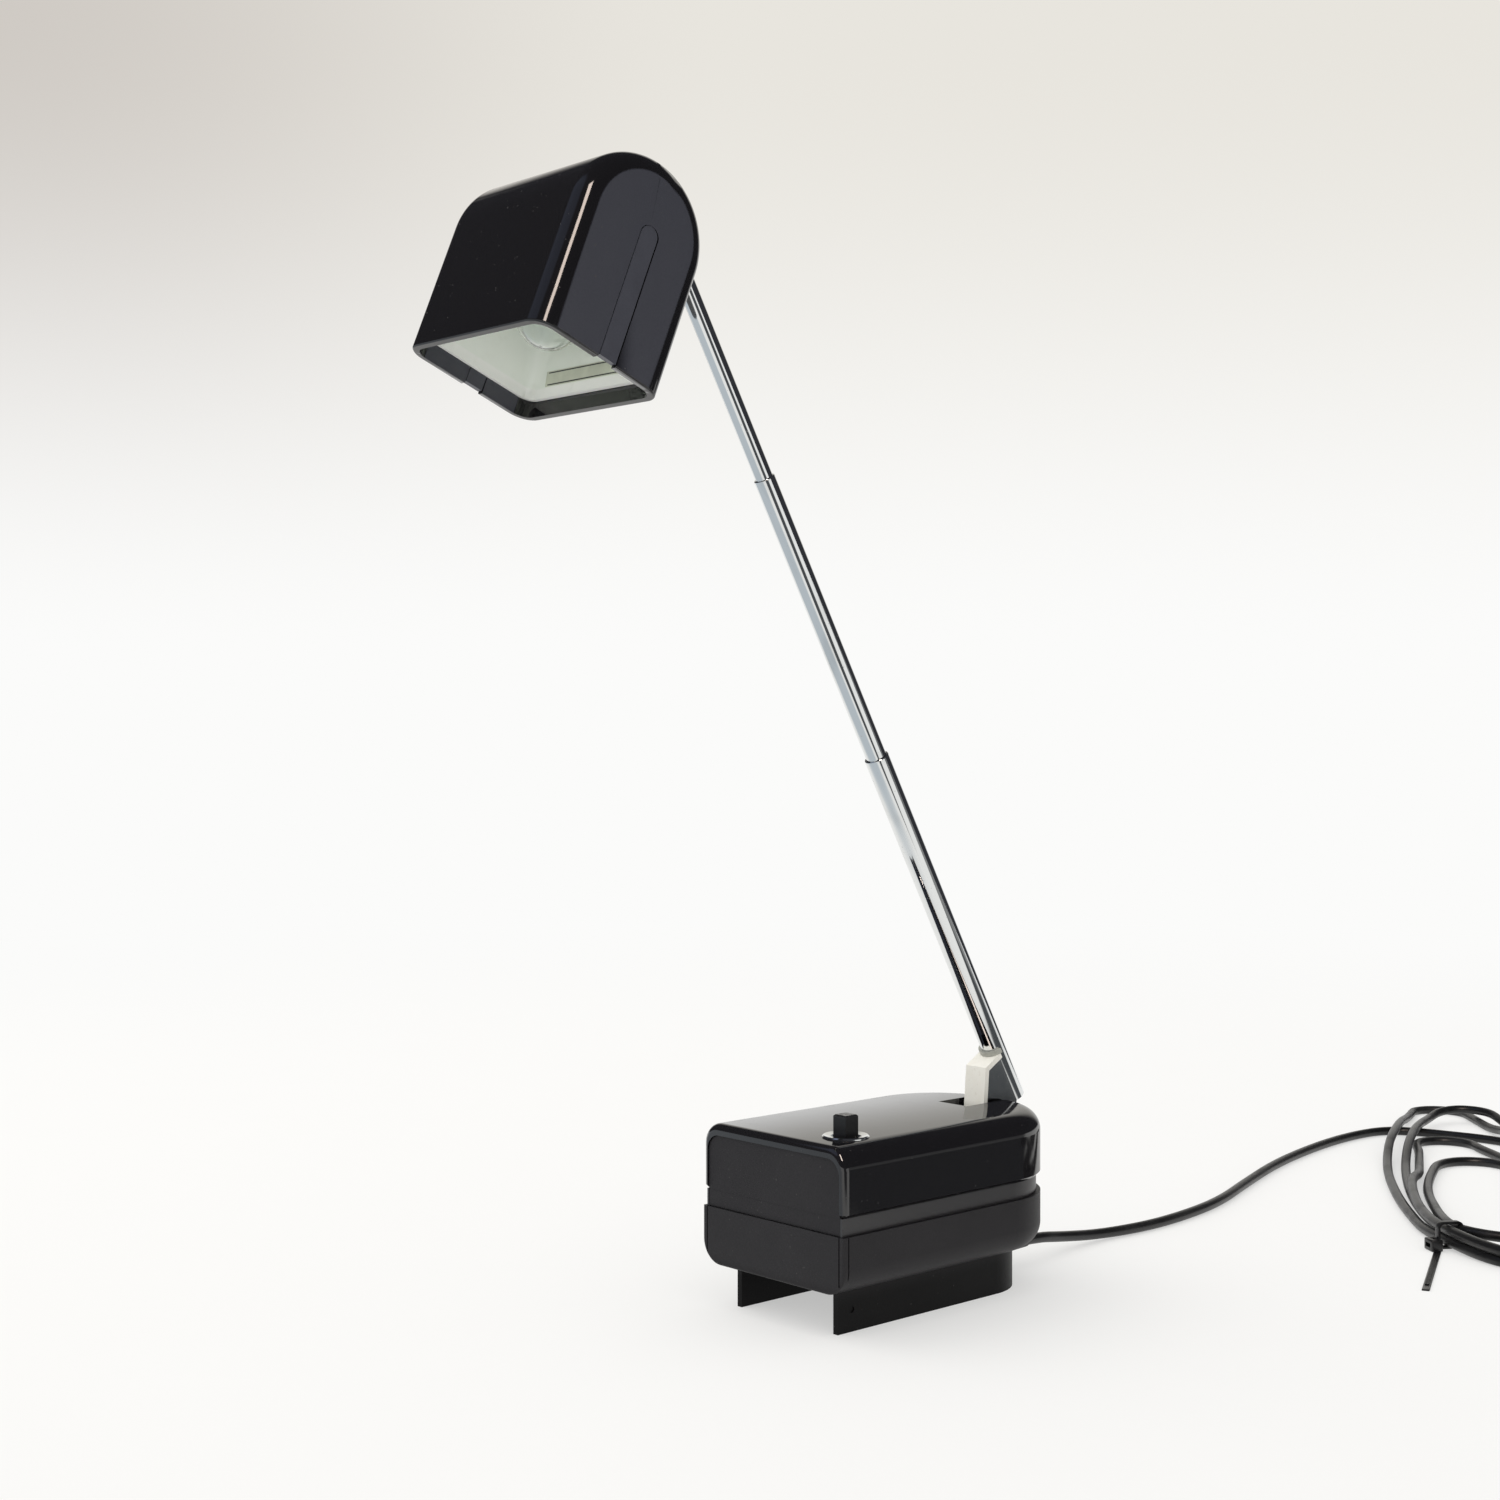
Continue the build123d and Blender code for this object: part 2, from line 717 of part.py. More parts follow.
# ---------------------------------------------------------------- base: hinge yoke
with BuildPart() as hinge_yoke:
    # Ears that carry the pin
    with BuildSketch(Plane.YZ):
        with Locations((pin_y, pin_z)):
            Circle(yoke_eye)
        with BuildLine():
            Polyline(
                (pin_y - yoke_ear_depth, yoke_plate_z),
                (pin_y, yoke_plate_z),
                (pin_y, pin_z),
                (pin_y - yoke_eye, pin_z),
                close=True,
            )
        make_face()
    extrude(amount=yoke_gap / 2 + yoke_sheet, both=True)
    with BuildSketch(Plane.YZ):
        with Locations((pin_y, (yoke_plate_z + yoke_plate_sheet + base_top) / 2)):
            Rectangle(4 * yoke_ear_depth, base_top - yoke_plate_z - yoke_plate_sheet)
    extrude(amount=yoke_gap / 2, both=True, mode=Mode.SUBTRACT)
    # Foot plate
    with BuildSketch(Plane.XY.offset(yoke_plate_z)):
        with Locations((0, yoke_plate_y)):
            Rectangle(yoke_plate_width, yoke_plate_depth)
        with Locations(*yoke_screws):
            Circle(yoke_screw_radius + pin_clearance, mode=Mode.SUBTRACT)
    extrude(amount=yoke_plate_sheet)
    with BuildSketch(Plane.YZ):
        with Locations((pin_y, pin_z)):
            Circle(pin_radius + fit_clearance)
    extrude(amount=yoke_gap, both=True, mode=Mode.SUBTRACT)

with BuildPart() as yoke_screw_set:
    with BuildSketch(Plane.XY.offset(yoke_plate_z + yoke_plate_sheet)):
        with Locations(*yoke_screws):
            Circle(yoke_screw_head)
    extrude(amount=yoke_screw_head_height)
    with BuildSketch(Plane.XY.offset(yoke_plate_z + yoke_plate_sheet)):
        with Locations(*yoke_screws):
            Circle(yoke_screw_radius)
    extrude(amount=-yoke_screw_length)

with BuildPart() as hinge_pin:
    with BuildSketch(Plane.YZ):
        with Locations((pin_y, pin_z)):
            Circle(pin_radius)
    extrude(amount=yoke_gap / 2 + yoke_sheet, both=True)
    for side in (-1, 1):
        with BuildSketch(Plane.YZ.offset(side * (yoke_gap / 2 + yoke_sheet))):
            with Locations((pin_y, pin_z)):
                Circle(pin_head_radius)
        extrude(amount=side * pin_head)

# ---------------------------------------------------------------- arm: foot
hood_angle = math.radians(hood_lean)
hood_rise = hood_top - hood_low_t
hood_knee_n = hood_low_n + hood_rise * math.tan(hood_angle)
cheek_shift_n = hood_wall * math.cos(hood_angle)
cheek_shift_t = hood_wall * math.sin(hood_angle)
cheek_top = hood_top - hood_wall
cheek_low = (hood_low_n + cheek_shift_n, hood_low_t - cheek_shift_t)
cheek_knee_n = cheek_low[0] + (cheek_top - cheek_low[1]) * math.tan(hood_angle)


def cheek_outline():
    """Side outline of the foot bracket, around the hinge pin."""
    with BuildSketch() as outline:
        with BuildLine() as border:
            Polyline(
                cheek_low,
                (cheek_knee_n, cheek_top),
                (foot_rear, cheek_top),
                (foot_rear, foot_low),
            )
            CenterArc((0, 0), foot_eye, 0, 360)
        make_hull(border.edges())
    return outline.sketch


with BuildPart() as foot_bracket:
    with BuildSketch(foot_side):
        add(cheek_outline())
    extrude(amount=foot_width / 2, both=True)
    # Channel between the cheeks, closed by the front web
    with BuildSketch(foot_side):
        with Locations((foot_sheet / math.cos(hood_angle), -foot_sheet)):
            add(cheek_outline())
        with Locations((foot_rear / 2, 0)):
            Rectangle(3 * foot_rear, 2 * foot_eye)
    extrude(amount=foot_width / 2 - foot_sheet, both=True, mode=Mode.SUBTRACT)
    # Seat for the tube
    with BuildSketch(station(-hood_top)):
        Circle(lower_outer / 2)
    extrude(amount=3 * hood_top, mode=Mode.SUBTRACT)
    with BuildSketch(foot_side):
        Circle(pin_radius + pin_clearance)
    extrude(amount=foot_width, both=True, mode=Mode.SUBTRACT)

with BuildPart() as foot_hood:
    with BuildSketch(foot_side):
        with BuildLine():
            Polyline(
                (hood_low_n, hood_low_t),
                (hood_knee_n, hood_top),
                (foot_rear + foot_sheet, hood_top),
                (foot_rear + foot_sheet, cheek_top),
                (cheek_knee_n, cheek_top),
                cheek_low,
                close=True,
            )
        make_face()
    extrude(amount=foot_width / 2, both=True)
    with BuildSketch(station(0)):
        Circle(lower_outer / 2)
    extrude(amount=2 * hood_top, mode=Mode.SUBTRACT)

with BuildPart() as foot_collar:
    with BuildSketch(station(hood_top)):
        Circle(collar_radius)
        Circle(lower_outer / 2, mode=Mode.SUBTRACT)
    extrude(amount=collar_height)

# ---------------------------------------------------------------- arm: tubes
with BuildPart() as lower_tube:
    with BuildSketch(station(0)):
        Circle(lower_outer / 2)
        Circle(lower_inner / 2, mode=Mode.SUBTRACT)
    extrude(amount=lower_length)
    with BuildSketch(station(lower_length - mouth_roll)):
        Circle(lower_outer / 2)
        Circle(middle_outer / 2 + slide_clearance, mode=Mode.SUBTRACT)
    extrude(amount=mouth_roll)
    rim = lower_tube.edges().filter_by(GeomType.CIRCLE).group_by(Axis(tube_foot, along))[-1]
    fillet(rim.sort_by(SortBy.RADIUS)[-1], mouth_round)

with BuildPart() as middle_tube:
    with BuildSketch(station(middle_start)):
        Circle(middle_outer / 2)
        Circle(middle_inner / 2, mode=Mode.SUBTRACT)
    extrude(amount=middle_end - middle_start)
    with BuildSketch(station(middle_end - mouth_roll)):
        Circle(middle_outer / 2)
        Circle(upper_outer / 2 + slide_clearance, mode=Mode.SUBTRACT)
    extrude(amount=mouth_roll)
    rim = middle_tube.edges().filter_by(GeomType.CIRCLE).group_by(Axis(tube_foot, along))[-1]
    fillet(rim.sort_by(SortBy.RADIUS)[-1], mouth_round)

with BuildPart() as upper_tube:
    with BuildSketch(station(upper_start)):
        Circle(upper_outer / 2)
        Circle(upper_inner / 2, mode=Mode.SUBTRACT)
    extrude(amount=upper_end - upper_start)

with BuildPart() as middle_guide_ring:
    with BuildSketch(station(middle_start)):
        Circle(lower_inner / 2 - slide_clearance)
        Circle(middle_outer / 2, mode=Mode.SUBTRACT)
    extrude(amount=ring_height)

with BuildPart() as upper_guide_ring:
    with BuildSketch(station(upper_start)):
        Circle(middle_inner / 2 - slide_clearance)
        Circle(upper_outer / 2, mode=Mode.SUBTRACT)
    extrude(amount=ring_height)

# Insulating plugs and the sliding conductor inside the tubes
with BuildPart() as lower_plug:
    with BuildSketch(station(mouth_round)):
        Circle(lower_inner / 2)
        Circle(core_rod_outer / 2, mode=Mode.SUBTRACT)
    extrude(amount=end_plug)

with BuildPart() as core_rod:
    with BuildSketch(station(mouth_round)):
        Circle(core_rod_outer / 2)
    extrude(amount=core_rod_top - mouth_round)

with BuildPart() as middle_plug:
    with BuildSketch(station(middle_start)):
        Circle(middle_inner / 2)
        Circle(core_mid_outer / 2, mode=Mode.SUBTRACT)
    extrude(amount=end_plug)

with BuildPart() as core_middle_tube:
    with BuildSketch(station(middle_start)):
        Circle(core_mid_outer / 2)
        Circle(core_mid_inner / 2, mode=Mode.SUBTRACT)
    extrude(amount=core_mid_top - middle_start)

with BuildPart() as upper_plug:
    with BuildSketch(station(upper_start)):
        Circle(upper_inner / 2)
        Circle(core_upper_outer / 2, mode=Mode.SUBTRACT)
    extrude(amount=end_plug)

with BuildPart() as core_upper_tube:
    with BuildSketch(station(upper_start)):
        Circle(core_upper_outer / 2)
        Circle(core_upper_inner / 2, mode=Mode.SUBTRACT)
    extrude(amount=core_upper_top - upper_start)

with BuildPart() as top_bracket:
    # Eye and neck that reach into the lamp head
    with BuildSketch(bracket_side):
        Circle(bracket_eye)
        with Locations((bracket_neck / 2, 0)):
            Rectangle(bracket_neck, 2 * bracket_eye)
        with BuildLine():
            Polyline(
                (bracket_neck, -bracket_eye),
                (bracket_neck + upper_outer / 4, -bracket_half),
                (head_pin_offset, -bracket_half),
                (head_pin_offset, bracket_half),
                (bracket_neck + upper_outer / 4, bracket_half),
                (bracket_neck, bracket_eye),
                close=True,
            )
        make_face()
    extrude(amount=bracket_width / 2, both=True)
    # Sleeve around the tube
    with BuildSketch(station(head_pin_t - bracket_half)):
        Circle(upper_outer / 2 + bracket_wrap)
    extrude(amount=2 * bracket_half)
    with BuildSketch(station(head_pin_t - 2 * bracket_half)):
        Circle(upper_outer / 2)
    extrude(amount=4 * bracket_half, mode=Mode.SUBTRACT)
    with BuildSketch(bracket_side):
        Circle(pin_radius + pin_clearance)
    extrude(amount=bracket_width, both=True, mode=Mode.SUBTRACT)

# ---------------------------------------------------------------- lamp head: shell
pin_at = (head_pin_v, head_pin_u)
boss_reach = head_slot_half + head_boss_width
tongue_cut = tongue_width / 2 + seam


def tongue_outline(half, foot):
    """Outline of a side tongue: straight sides and a round top."""
    with BuildSketch() as outline:
        with Locations((tongue_centre, tongue_top - half)):
            Circle(half)
        with Locations((tongue_centre, (tongue_top - half + foot) / 2)):
            Rectangle(2 * half, tongue_top - half - foot)
    return outline.sketch


with BuildPart() as head_cavity:
    with BuildSketch(head_side):
        add(arch_outline(head_wall, 0))
    extrude(amount=head_width / 2 - head_wall, both=True)
    fillet(end_outlines(head_cavity), head_edge_radius - head_wall)

with BuildPart() as head_shell:
    with BuildSketch(head_side):
        add(arch_outline(0, 0))
    extrude(amount=head_width / 2, both=True)
    fillet(end_outlines(head_shell), head_edge_radius)
    rim = head_shell.faces().sort_by(Axis(mouth_centre, head_up))[0]
    fillet(rim.edges(), mouth_edge_radius)
    add(head_cavity.part, mode=Mode.SUBTRACT)
    # Bosses for the tilt pin, on both sides of the slot
    with BuildSketch(head_side):
        with Locations(pin_at):
            Circle(head_boss_radius)
    extrude(amount=boss_reach, both=True)
    # Slot through the rear of the arch for the arm's bracket
    slot_edge = bracket_eye + head_slot_play
    with BuildSketch(head_side):
        with Locations(
            (head_pin_v - slot_edge + arch_radius / 2, head_pin_u - slot_edge + arch_radius / 2)
        ):
            Rectangle(arch_radius, arch_radius)
    extrude(amount=head_slot_half, both=True, mode=Mode.SUBTRACT)
    with BuildSketch(head_side):
        with Locations(pin_at):
            Circle(pin_radius + fit_clearance)
    extrude(amount=boss_reach, both=True, mode=Mode.SUBTRACT)
    # Openings for the side tongues
    for side in (-1, 1):
        with BuildSketch(end_face(side)):
            add(tongue_outline(tongue_cut, -tongue_cut))
        extrude(amount=-side * head_wall, mode=Mode.SUBTRACT)

with BuildPart() as side_tongues:
    for side in (-1, 1):
        with BuildSketch(end_face(side).offset(-side * tongue_sink)):
            add(tongue_outline(tongue_width / 2, tongue_foot))
        extrude(amount=-side * (head_wall - tongue_sink))

with BuildPart() as head_pin:
    with BuildSketch(head_side):
        with Locations(pin_at):
            Circle(pin_radius)
    extrude(amount=boss_reach - head_slot_play, both=True)

# ---------------------------------------------------------------- lamp head: reflector
mouth_room = 2 * (head_wall + reflector_play)
lip_width = head_width - mouth_room
lip_depth = head_depth - mouth_room
taper_start = reflector_set_back + reflector_lip
thin = 2 * reflector_wall

with BuildPart() as reflector:
    with BuildSketch(mouth_plane(reflector_set_back)):
        RectangleRounded(lip_width, lip_depth, reflector_corner)
    extrude(amount=reflector_lip)
    with BuildSketch(mouth_plane(taper_start)):
        RectangleRounded(lip_width, lip_depth, reflector_corner)
    with BuildSketch(mouth_plane(reflector_top)):
        RectangleRounded(reflector_top_width, reflector_top_depth, reflector_top_corner)
    loft()
    with BuildSketch(mouth_plane(reflector_set_back)):
        RectangleRounded(lip_width - thin, lip_depth - thin, reflector_corner - reflector_wall)
    extrude(amount=reflector_lip, mode=Mode.SUBTRACT)
    with BuildSketch(mouth_plane(taper_start)):
        RectangleRounded(lip_width - thin, lip_depth - thin, reflector_corner - reflector_wall)
    with BuildSketch(mouth_plane(reflector_top - reflector_wall)):
        RectangleRounded(
            reflector_top_width - thin,
            reflector_top_depth - thin,
            reflector_top_corner - reflector_wall,
        )
    loft(mode=Mode.SUBTRACT)
    with BuildSketch(mouth_plane(reflector_top)):
        Circle(reflector_hole)
    extrude(amount=-2 * reflector_wall, mode=Mode.SUBTRACT)

# ---------------------------------------------------------------- lamp head: holder and lamp
socket_inner = cap_radius + socket_play
socket_outer = socket_inner + socket_wall

with BuildPart() as lamp_socket:
    with BuildSketch(mouth_plane(reflector_top)):
        Circle(socket_flange)
    extrude(amount=socket_sheet)
    with BuildSketch(mouth_plane(reflector_top)):
        Circle(socket_outer)
    extrude(amount=socket_end - reflector_top)
    with BuildSketch(mouth_plane(reflector_top)):
        Circle(socket_inner)
    extrude(amount=socket_end - reflector_top, mode=Mode.SUBTRACT)
    # Bayonet slots
    with BuildSketch(mouth_plane(reflector_top)):
        Rectangle(2 * socket_outer + socket_slot, socket_slot)
    extrude(amount=cap_pin_u + socket_slot / 2 - reflector_top, mode=Mode.SUBTRACT)

with BuildPart() as socket_insulator:
    with BuildSketch(mouth_plane(socket_end - insulator_height)):
        Circle(socket_inner)
        Circle(contact_radius, mode=Mode.SUBTRACT)
    extrude(amount=insulator_height)

with BuildPart() as socket_contact:
    with BuildSketch(mouth_plane(cap_end + cap_tip_height)):
        Circle(contact_radius)
    extrude(amount=socket_end - cap_end - cap_tip_height + socket_sheet)

with BuildPart() as bulb_cap:
    with BuildSketch(mouth_plane(cap_start)):
        Circle(cap_radius)
    extrude(amount=cap_end - cap_start)
    with BuildSketch(mouth_plane(cap_end)):
        Circle(cap_tip_radius)
    extrude(amount=cap_tip_height)
    # Bayonet pins, which stand in the holder's slots
    with BuildSketch(head_side):
        with Locations((0, cap_pin_u)):
            Circle(cap_pin_radius)
    extrude(amount=cap_pin_reach, both=True)
    with BuildSketch(mouth_plane(cap_start + cap_lip)):
        Circle(cap_radius - cap_wall)
    extrude(amount=cap_end - cap_start - 2 * cap_lip, mode=Mode.SUBTRACT)

with BuildPart() as bulb_glass:
    outer_shoulder = globe_centre + math.sqrt(globe_radius**2 - neck_radius**2)
    inner_radius = globe_radius - glass_wall
    inner_neck = neck_radius - glass_wall
    inner_shoulder = globe_centre + math.sqrt(inner_radius**2 - inner_neck**2)
    with BuildSketch(head_side):
        with BuildLine():
            ThreePointArc(
                (0, globe_centre - globe_radius),
                (globe_radius, globe_centre),
                (neck_radius, outer_shoulder),
            )
            Polyline(
                (neck_radius, outer_shoulder),
                (neck_radius, cap_start),
                (inner_neck, cap_start),
                (inner_neck, inner_shoulder),
            )
            ThreePointArc(
                (inner_neck, inner_shoulder),
                (inner_radius, globe_centre),
                (0, globe_centre - inner_radius),
            )
            Line((0, globe_centre - inner_radius), (0, globe_centre - globe_radius))
        make_face()
    revolve(axis=lamp_axis)

with BuildPart() as bulb_filament:
    # Glass stem and the filament on its two support wires
    with BuildSketch(mouth_plane(cap_start)):
        Circle(stem_radius)
    extrude(amount=-stem_height)
    filament_low = mouth_centre + head_up * (cap_start - stem_height / 2)
    filament_high = mouth_centre + head_up * filament_u
    splay = Vector(filament_half, 0, 0)
    with BuildLine() as support:
        FilletPolyline(
            filament_low + splay / 2,
            filament_high + splay,
            filament_high - splay,
            filament_low - splay / 2,
            radius=2 * wire_radius,
        )
    with BuildSketch(Plane(origin=support.line @ 0, z_dir=support.line % 0)):
        Circle(wire_radius)
    sweep()

# ---------------------------------------------------------------- mains cord
cord_radius = cord_diameter / 2
bushing_face = skirt_rear + bushing_flange_height
cord_points = [
    (0, bushing_face, cord_exit_z),
    (0, bushing_face + cord_straight, cord_exit_z),
    (-1.8, 84, 4.4),
    (-1.7, 103, 2.2),
    (0.6, 127, cord_radius),
    (-0.8, 151, cord_radius),
    (-6, 179, cord_radius),
    (-18.5, 213, cord_radius),
    (-33, 255, cord_radius),
    (-42.5, 299, cord_radius),
    (-44.5, 328, cord_radius),
    (-41, 346, cord_radius),
]

arc_share = 0.45              # of the shorter run that an arc takes
runs = [Vector(*b) - Vector(*a) for a, b in zip(cord_points, cord_points[1:])]
cord_radii = [
    arc_share * min(one.length, two.length) / math.tan(math.radians(one.get_angle(two)) / 2)
    for one, two in zip(runs, runs[1:])
]
print("cord bend radii", [round(radius, 1) for radius in cord_radii])

with BuildPart() as cord_bushing:
    exit_plane = Plane(origin=(0, skirt_rear, cord_exit_z), z_dir=(0, 1, 0))
    with BuildSketch(exit_plane):
        Circle(bushing_flange)
    extrude(amount=bushing_flange_height)
    with BuildSketch(exit_plane):
        Circle(bushing_radius)
    extrude(amount=-bushing_depth)
    # Bending sleeve around the cord's first stretch
    with BuildSketch(exit_plane.offset(bushing_flange_height)):
        Circle(sleeve_root)
    with BuildSketch(exit_plane.offset(bushing_flange_height + sleeve_length)):
        Circle(sleeve_tip)
    loft()
    with BuildSketch(exit_plane.offset(bushing_flange_height)):
        Circle(cord_radius + sleeve_play)
    extrude(amount=sleeve_length, mode=Mode.SUBTRACT)
    with BuildSketch(exit_plane.offset(bushing_flange_height)):
        Circle(bushing_bore)
    extrude(amount=-bushing_depth - bushing_flange_height, mode=Mode.SUBTRACT)

with BuildPart() as mains_cord:
    with BuildLine() as route:
        FilletPolyline(*cord_points, radius=cord_radii)
    with BuildSketch(Plane(origin=route.line @ 0, z_dir=route.line % 0)):
        Circle(cord_radius)
    sweep()
tube_length = route.wire().length
tube_volume = math.pi * cord_radius**2 * tube_length
print("cord tube length", round(tube_length, 1))
print("volume over section times length", round(mains_cord.part.volume / tube_volume, 4))

# Hank of the cord's remaining turns, lying flat: its outer border and its open middle
coil_border = [
    (-43, 351), (-63, 392), (-67, 424), (-50, 430), (-14, 417), (30, 380), (78, 322),
    (118, 262), (140, 208), (140, 174), (110, 165.5), (82.5, 177.5), (51, 207), (28.5, 236),
    (-8, 287),
]
coil_middle = [
    (88.5, 188.2), (62, 216), (41, 250), (26, 288), (22, 310), (38, 318), (70, 290), (100, 245),
    (117, 212), (114, 193),
]
tie_point = Vector(85.3, 182.8, 0)
across = Vector(0.54, 0.8417, 0)          # across the strands, towards the hank's middle
strands = Vector(0.8417, -0.54, 0)
tail_heading = Vector(0.447, -0.8945, 0)
tie_plane = Plane(origin=tie_point, x_dir=across, z_dir=strands)
tail_point = (
    tie_point + strands * tie_head - across * (bundle_width + tie_head_depth) / 2
)
tail_side = Plane(origin=tail_point, x_dir=(0, 0, 1), z_dir=tail_heading)
waist = tie_sheet + tie_gap
cord_end = route.wire() @ 1
cord_heading = route.wire() % 1

with BuildPart() as cord_coil:
    with BuildSketch():
        with BuildLine() as border:
            Spline(*coil_border, periodic=True)
        make_face()
        with BuildLine():
            Spline(*coil_middle, periodic=True)
        make_face(mode=Mode.SUBTRACT)
    extrude(amount=coil_height)
    # Waist that the cable tie squeezes
    with BuildSketch(tie_plane):
        with Locations((0, coil_height / 2)):
            Rectangle(2 * bundle_width, 2 * coil_height)
            Rectangle(
                bundle_width - 2 * waist, coil_height - 2 * waist, mode=Mode.SUBTRACT
            )
    extrude(amount=tie_width / 2 + tie_gap, both=True, mode=Mode.SUBTRACT)
    # Room beside the tie's head
    with BuildSketch(tie_plane.offset(-tie_width / 2 - tie_gap)):
        with Locations((-(bundle_width + tie_head_depth) / 2 - tie_gap, coil_height / 2)):
            Rectangle(tie_head_depth + 4 * tie_gap, 2 * coil_height)
    extrude(amount=tie_head + tie_width + 4 * tie_gap, mode=Mode.SUBTRACT)
    # Pocket in which the straight cord meets the hank
    with BuildSketch(Plane(origin=cord_end, z_dir=cord_heading * -1)):
        Rectangle(4 * coil_height, 2 * cord_radius + 4 * tie_gap)
    extrude(amount=cord_pocket, mode=Mode.SUBTRACT)

with BuildPart() as cord_tie:
    with BuildSketch(tie_plane):
        with Locations((0, coil_height / 2)):
            Rectangle(bundle_width, coil_height)
            Rectangle(
                bundle_width - 2 * tie_sheet, coil_height - 2 * tie_sheet, mode=Mode.SUBTRACT
            )
    extrude(amount=tie_width / 2, both=True)
    # Ratchet head beside the bundle, and the tie's tail on the floor
    with BuildSketch(tie_plane.offset(-tie_width / 2)):
        with Locations((-(bundle_width + tie_head_depth) / 2, tie_head_height / 2)):
            Rectangle(tie_head_depth, tie_head_height)
    extrude(amount=tie_head + tie_width / 2)
    with BuildSketch(tail_side):
        with Locations((tie_sheet / 2, 0)):
            Rectangle(tie_sheet, tie_width)
    extrude(amount=tie_tail)

# Two-pin plug beside the hank
plug_start = border.wire() @ plug_place
plug_tangent = border.wire() % plug_place
plug_heading = plug_tangent.cross(Vector(0, 0, 1))
plug_heading = plug_heading if plug_heading.X > 0 else -plug_heading
plug_origin = plug_start + plug_heading * plug_gap + Vector(0, 0, plug_height / 2)


def plug_plane(distance):
    """Plane across the plug, at a distance from the cord."""
    return Plane(origin=plug_origin + plug_heading * distance, x_dir=(0, 0, 1), z_dir=plug_heading)


plug_face = plug_neck_length + plug_length
pin_places = ((0, plug_pin_pitch / 2), (0, -plug_pin_pitch / 2))

with BuildPart() as plug_body:
    with BuildSketch(plug_plane(0)):
        Circle(plug_neck_radius - plug_neck_taper)
    with BuildSketch(plug_plane(plug_neck_length)):
        Circle(plug_neck_radius)
    loft()
    with BuildSketch(plug_plane(plug_neck_length)):
        RectangleRounded(plug_rear_height, plug_rear_width, plug_corner)
    with BuildSketch(plug_plane(plug_face)):
        RectangleRounded(plug_height, plug_width, plug_corner)
    loft()

with BuildPart() as plug_pins:
    with BuildSketch(plug_plane(plug_face)):
        with Locations(*pin_places):
            Circle(plug_pin_radius)
    extrude(amount=plug_pin_length)
    tips = plug_pins.faces().filter_by(GeomType.PLANE).group_by(Axis(plug_origin, plug_heading))[-1]
    fillet(tips.edges(), plug_pin_radius / 2)

pieces = {
    "upper_cover": upper_cover,
    "front_panel": front_panel,
    "lower_shell": lower_shell,
    "base_screws": housing_screw_set,
    "transformer_core": transformer_core,
    "transformer_bobbin": transformer_bobbin,
    "primary_winding": primary_winding,
    "secondary_winding": secondary_winding,
    "transformer_screws": transformer_screws,
    "switch_bezel": switch_bezel,
    "switch_housing": switch_housing,
    "push_button": push_button,
    "hinge_yoke": hinge_yoke,
    "yoke_screws": yoke_screw_set,
    "hinge_pin": hinge_pin,
    "foot_bracket": foot_bracket,
    "foot_hood": foot_hood,
    "foot_collar": foot_collar,
    "lower_tube": lower_tube,
    "middle_tube": middle_tube,
    "upper_tube": upper_tube,
    "middle_guide_ring": middle_guide_ring,
    "upper_guide_ring": upper_guide_ring,
    "lower_plug": lower_plug,
    "middle_plug": middle_plug,
    "upper_plug": upper_plug,
    "core_rod": core_rod,
    "core_middle_tube": core_middle_tube,
    "core_upper_tube": core_upper_tube,
    "top_bracket": top_bracket,
    "head_shell": head_shell,
    "side_tongues": side_tongues,
    "head_pin": head_pin,
    "reflector": reflector,
    "lamp_socket": lamp_socket,
    "socket_insulator": socket_insulator,
    "socket_contact": socket_contact,
    "bulb_cap": bulb_cap,
    "bulb_glass": bulb_glass,
    "bulb_filament": bulb_filament,
    "cord_bushing": cord_bushing,
    "mains_cord": mains_cord,
    "cord_coil": cord_coil,
    "cord_tie": cord_tie,
    "plug_body": plug_body,
    "plug_pins": plug_pins,
}

for name, piece in pieces.items():
    piece.part.label = name
    export_step(piece.part, f"parts/{name}.step")
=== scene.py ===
"""Folding telescopic desk lamp: its finishes, mains lead, cable tie, label and stage."""
import math

import bmesh
import bpy
from bpy.props import FloatProperty, FloatVectorProperty, IntProperty, PointerProperty
from mathutils import Matrix, Vector


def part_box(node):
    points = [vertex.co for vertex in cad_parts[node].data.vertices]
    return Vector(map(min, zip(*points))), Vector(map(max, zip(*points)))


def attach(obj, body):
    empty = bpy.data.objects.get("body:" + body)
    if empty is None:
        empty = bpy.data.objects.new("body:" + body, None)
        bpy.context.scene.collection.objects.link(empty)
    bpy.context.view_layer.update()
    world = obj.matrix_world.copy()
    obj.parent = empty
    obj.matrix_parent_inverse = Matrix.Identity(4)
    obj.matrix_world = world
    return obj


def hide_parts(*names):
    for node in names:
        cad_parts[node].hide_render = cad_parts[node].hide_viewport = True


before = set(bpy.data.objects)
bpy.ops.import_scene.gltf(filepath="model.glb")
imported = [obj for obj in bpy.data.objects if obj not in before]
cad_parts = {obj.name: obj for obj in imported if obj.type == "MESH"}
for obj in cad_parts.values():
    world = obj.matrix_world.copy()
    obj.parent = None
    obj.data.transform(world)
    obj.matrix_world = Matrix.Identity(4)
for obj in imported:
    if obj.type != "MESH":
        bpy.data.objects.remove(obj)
for spare in ("Cube", "Light", "Camera"):
    if spare in bpy.data.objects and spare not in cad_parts:
        bpy.data.objects.remove(bpy.data.objects[spare])
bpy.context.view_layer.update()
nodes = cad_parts

bl_info = {
    "name": "Folding desk lamp",
    "version": (1, 0, 0),
    "blender": (4, 5, 0),
    "location": "3D View > Sidebar > Desk lamp",
    "description": "Finishes, mains lead, cable tie, label and stage of a folding desk lamp",
    "category": "Object",
}

MM = 0.001

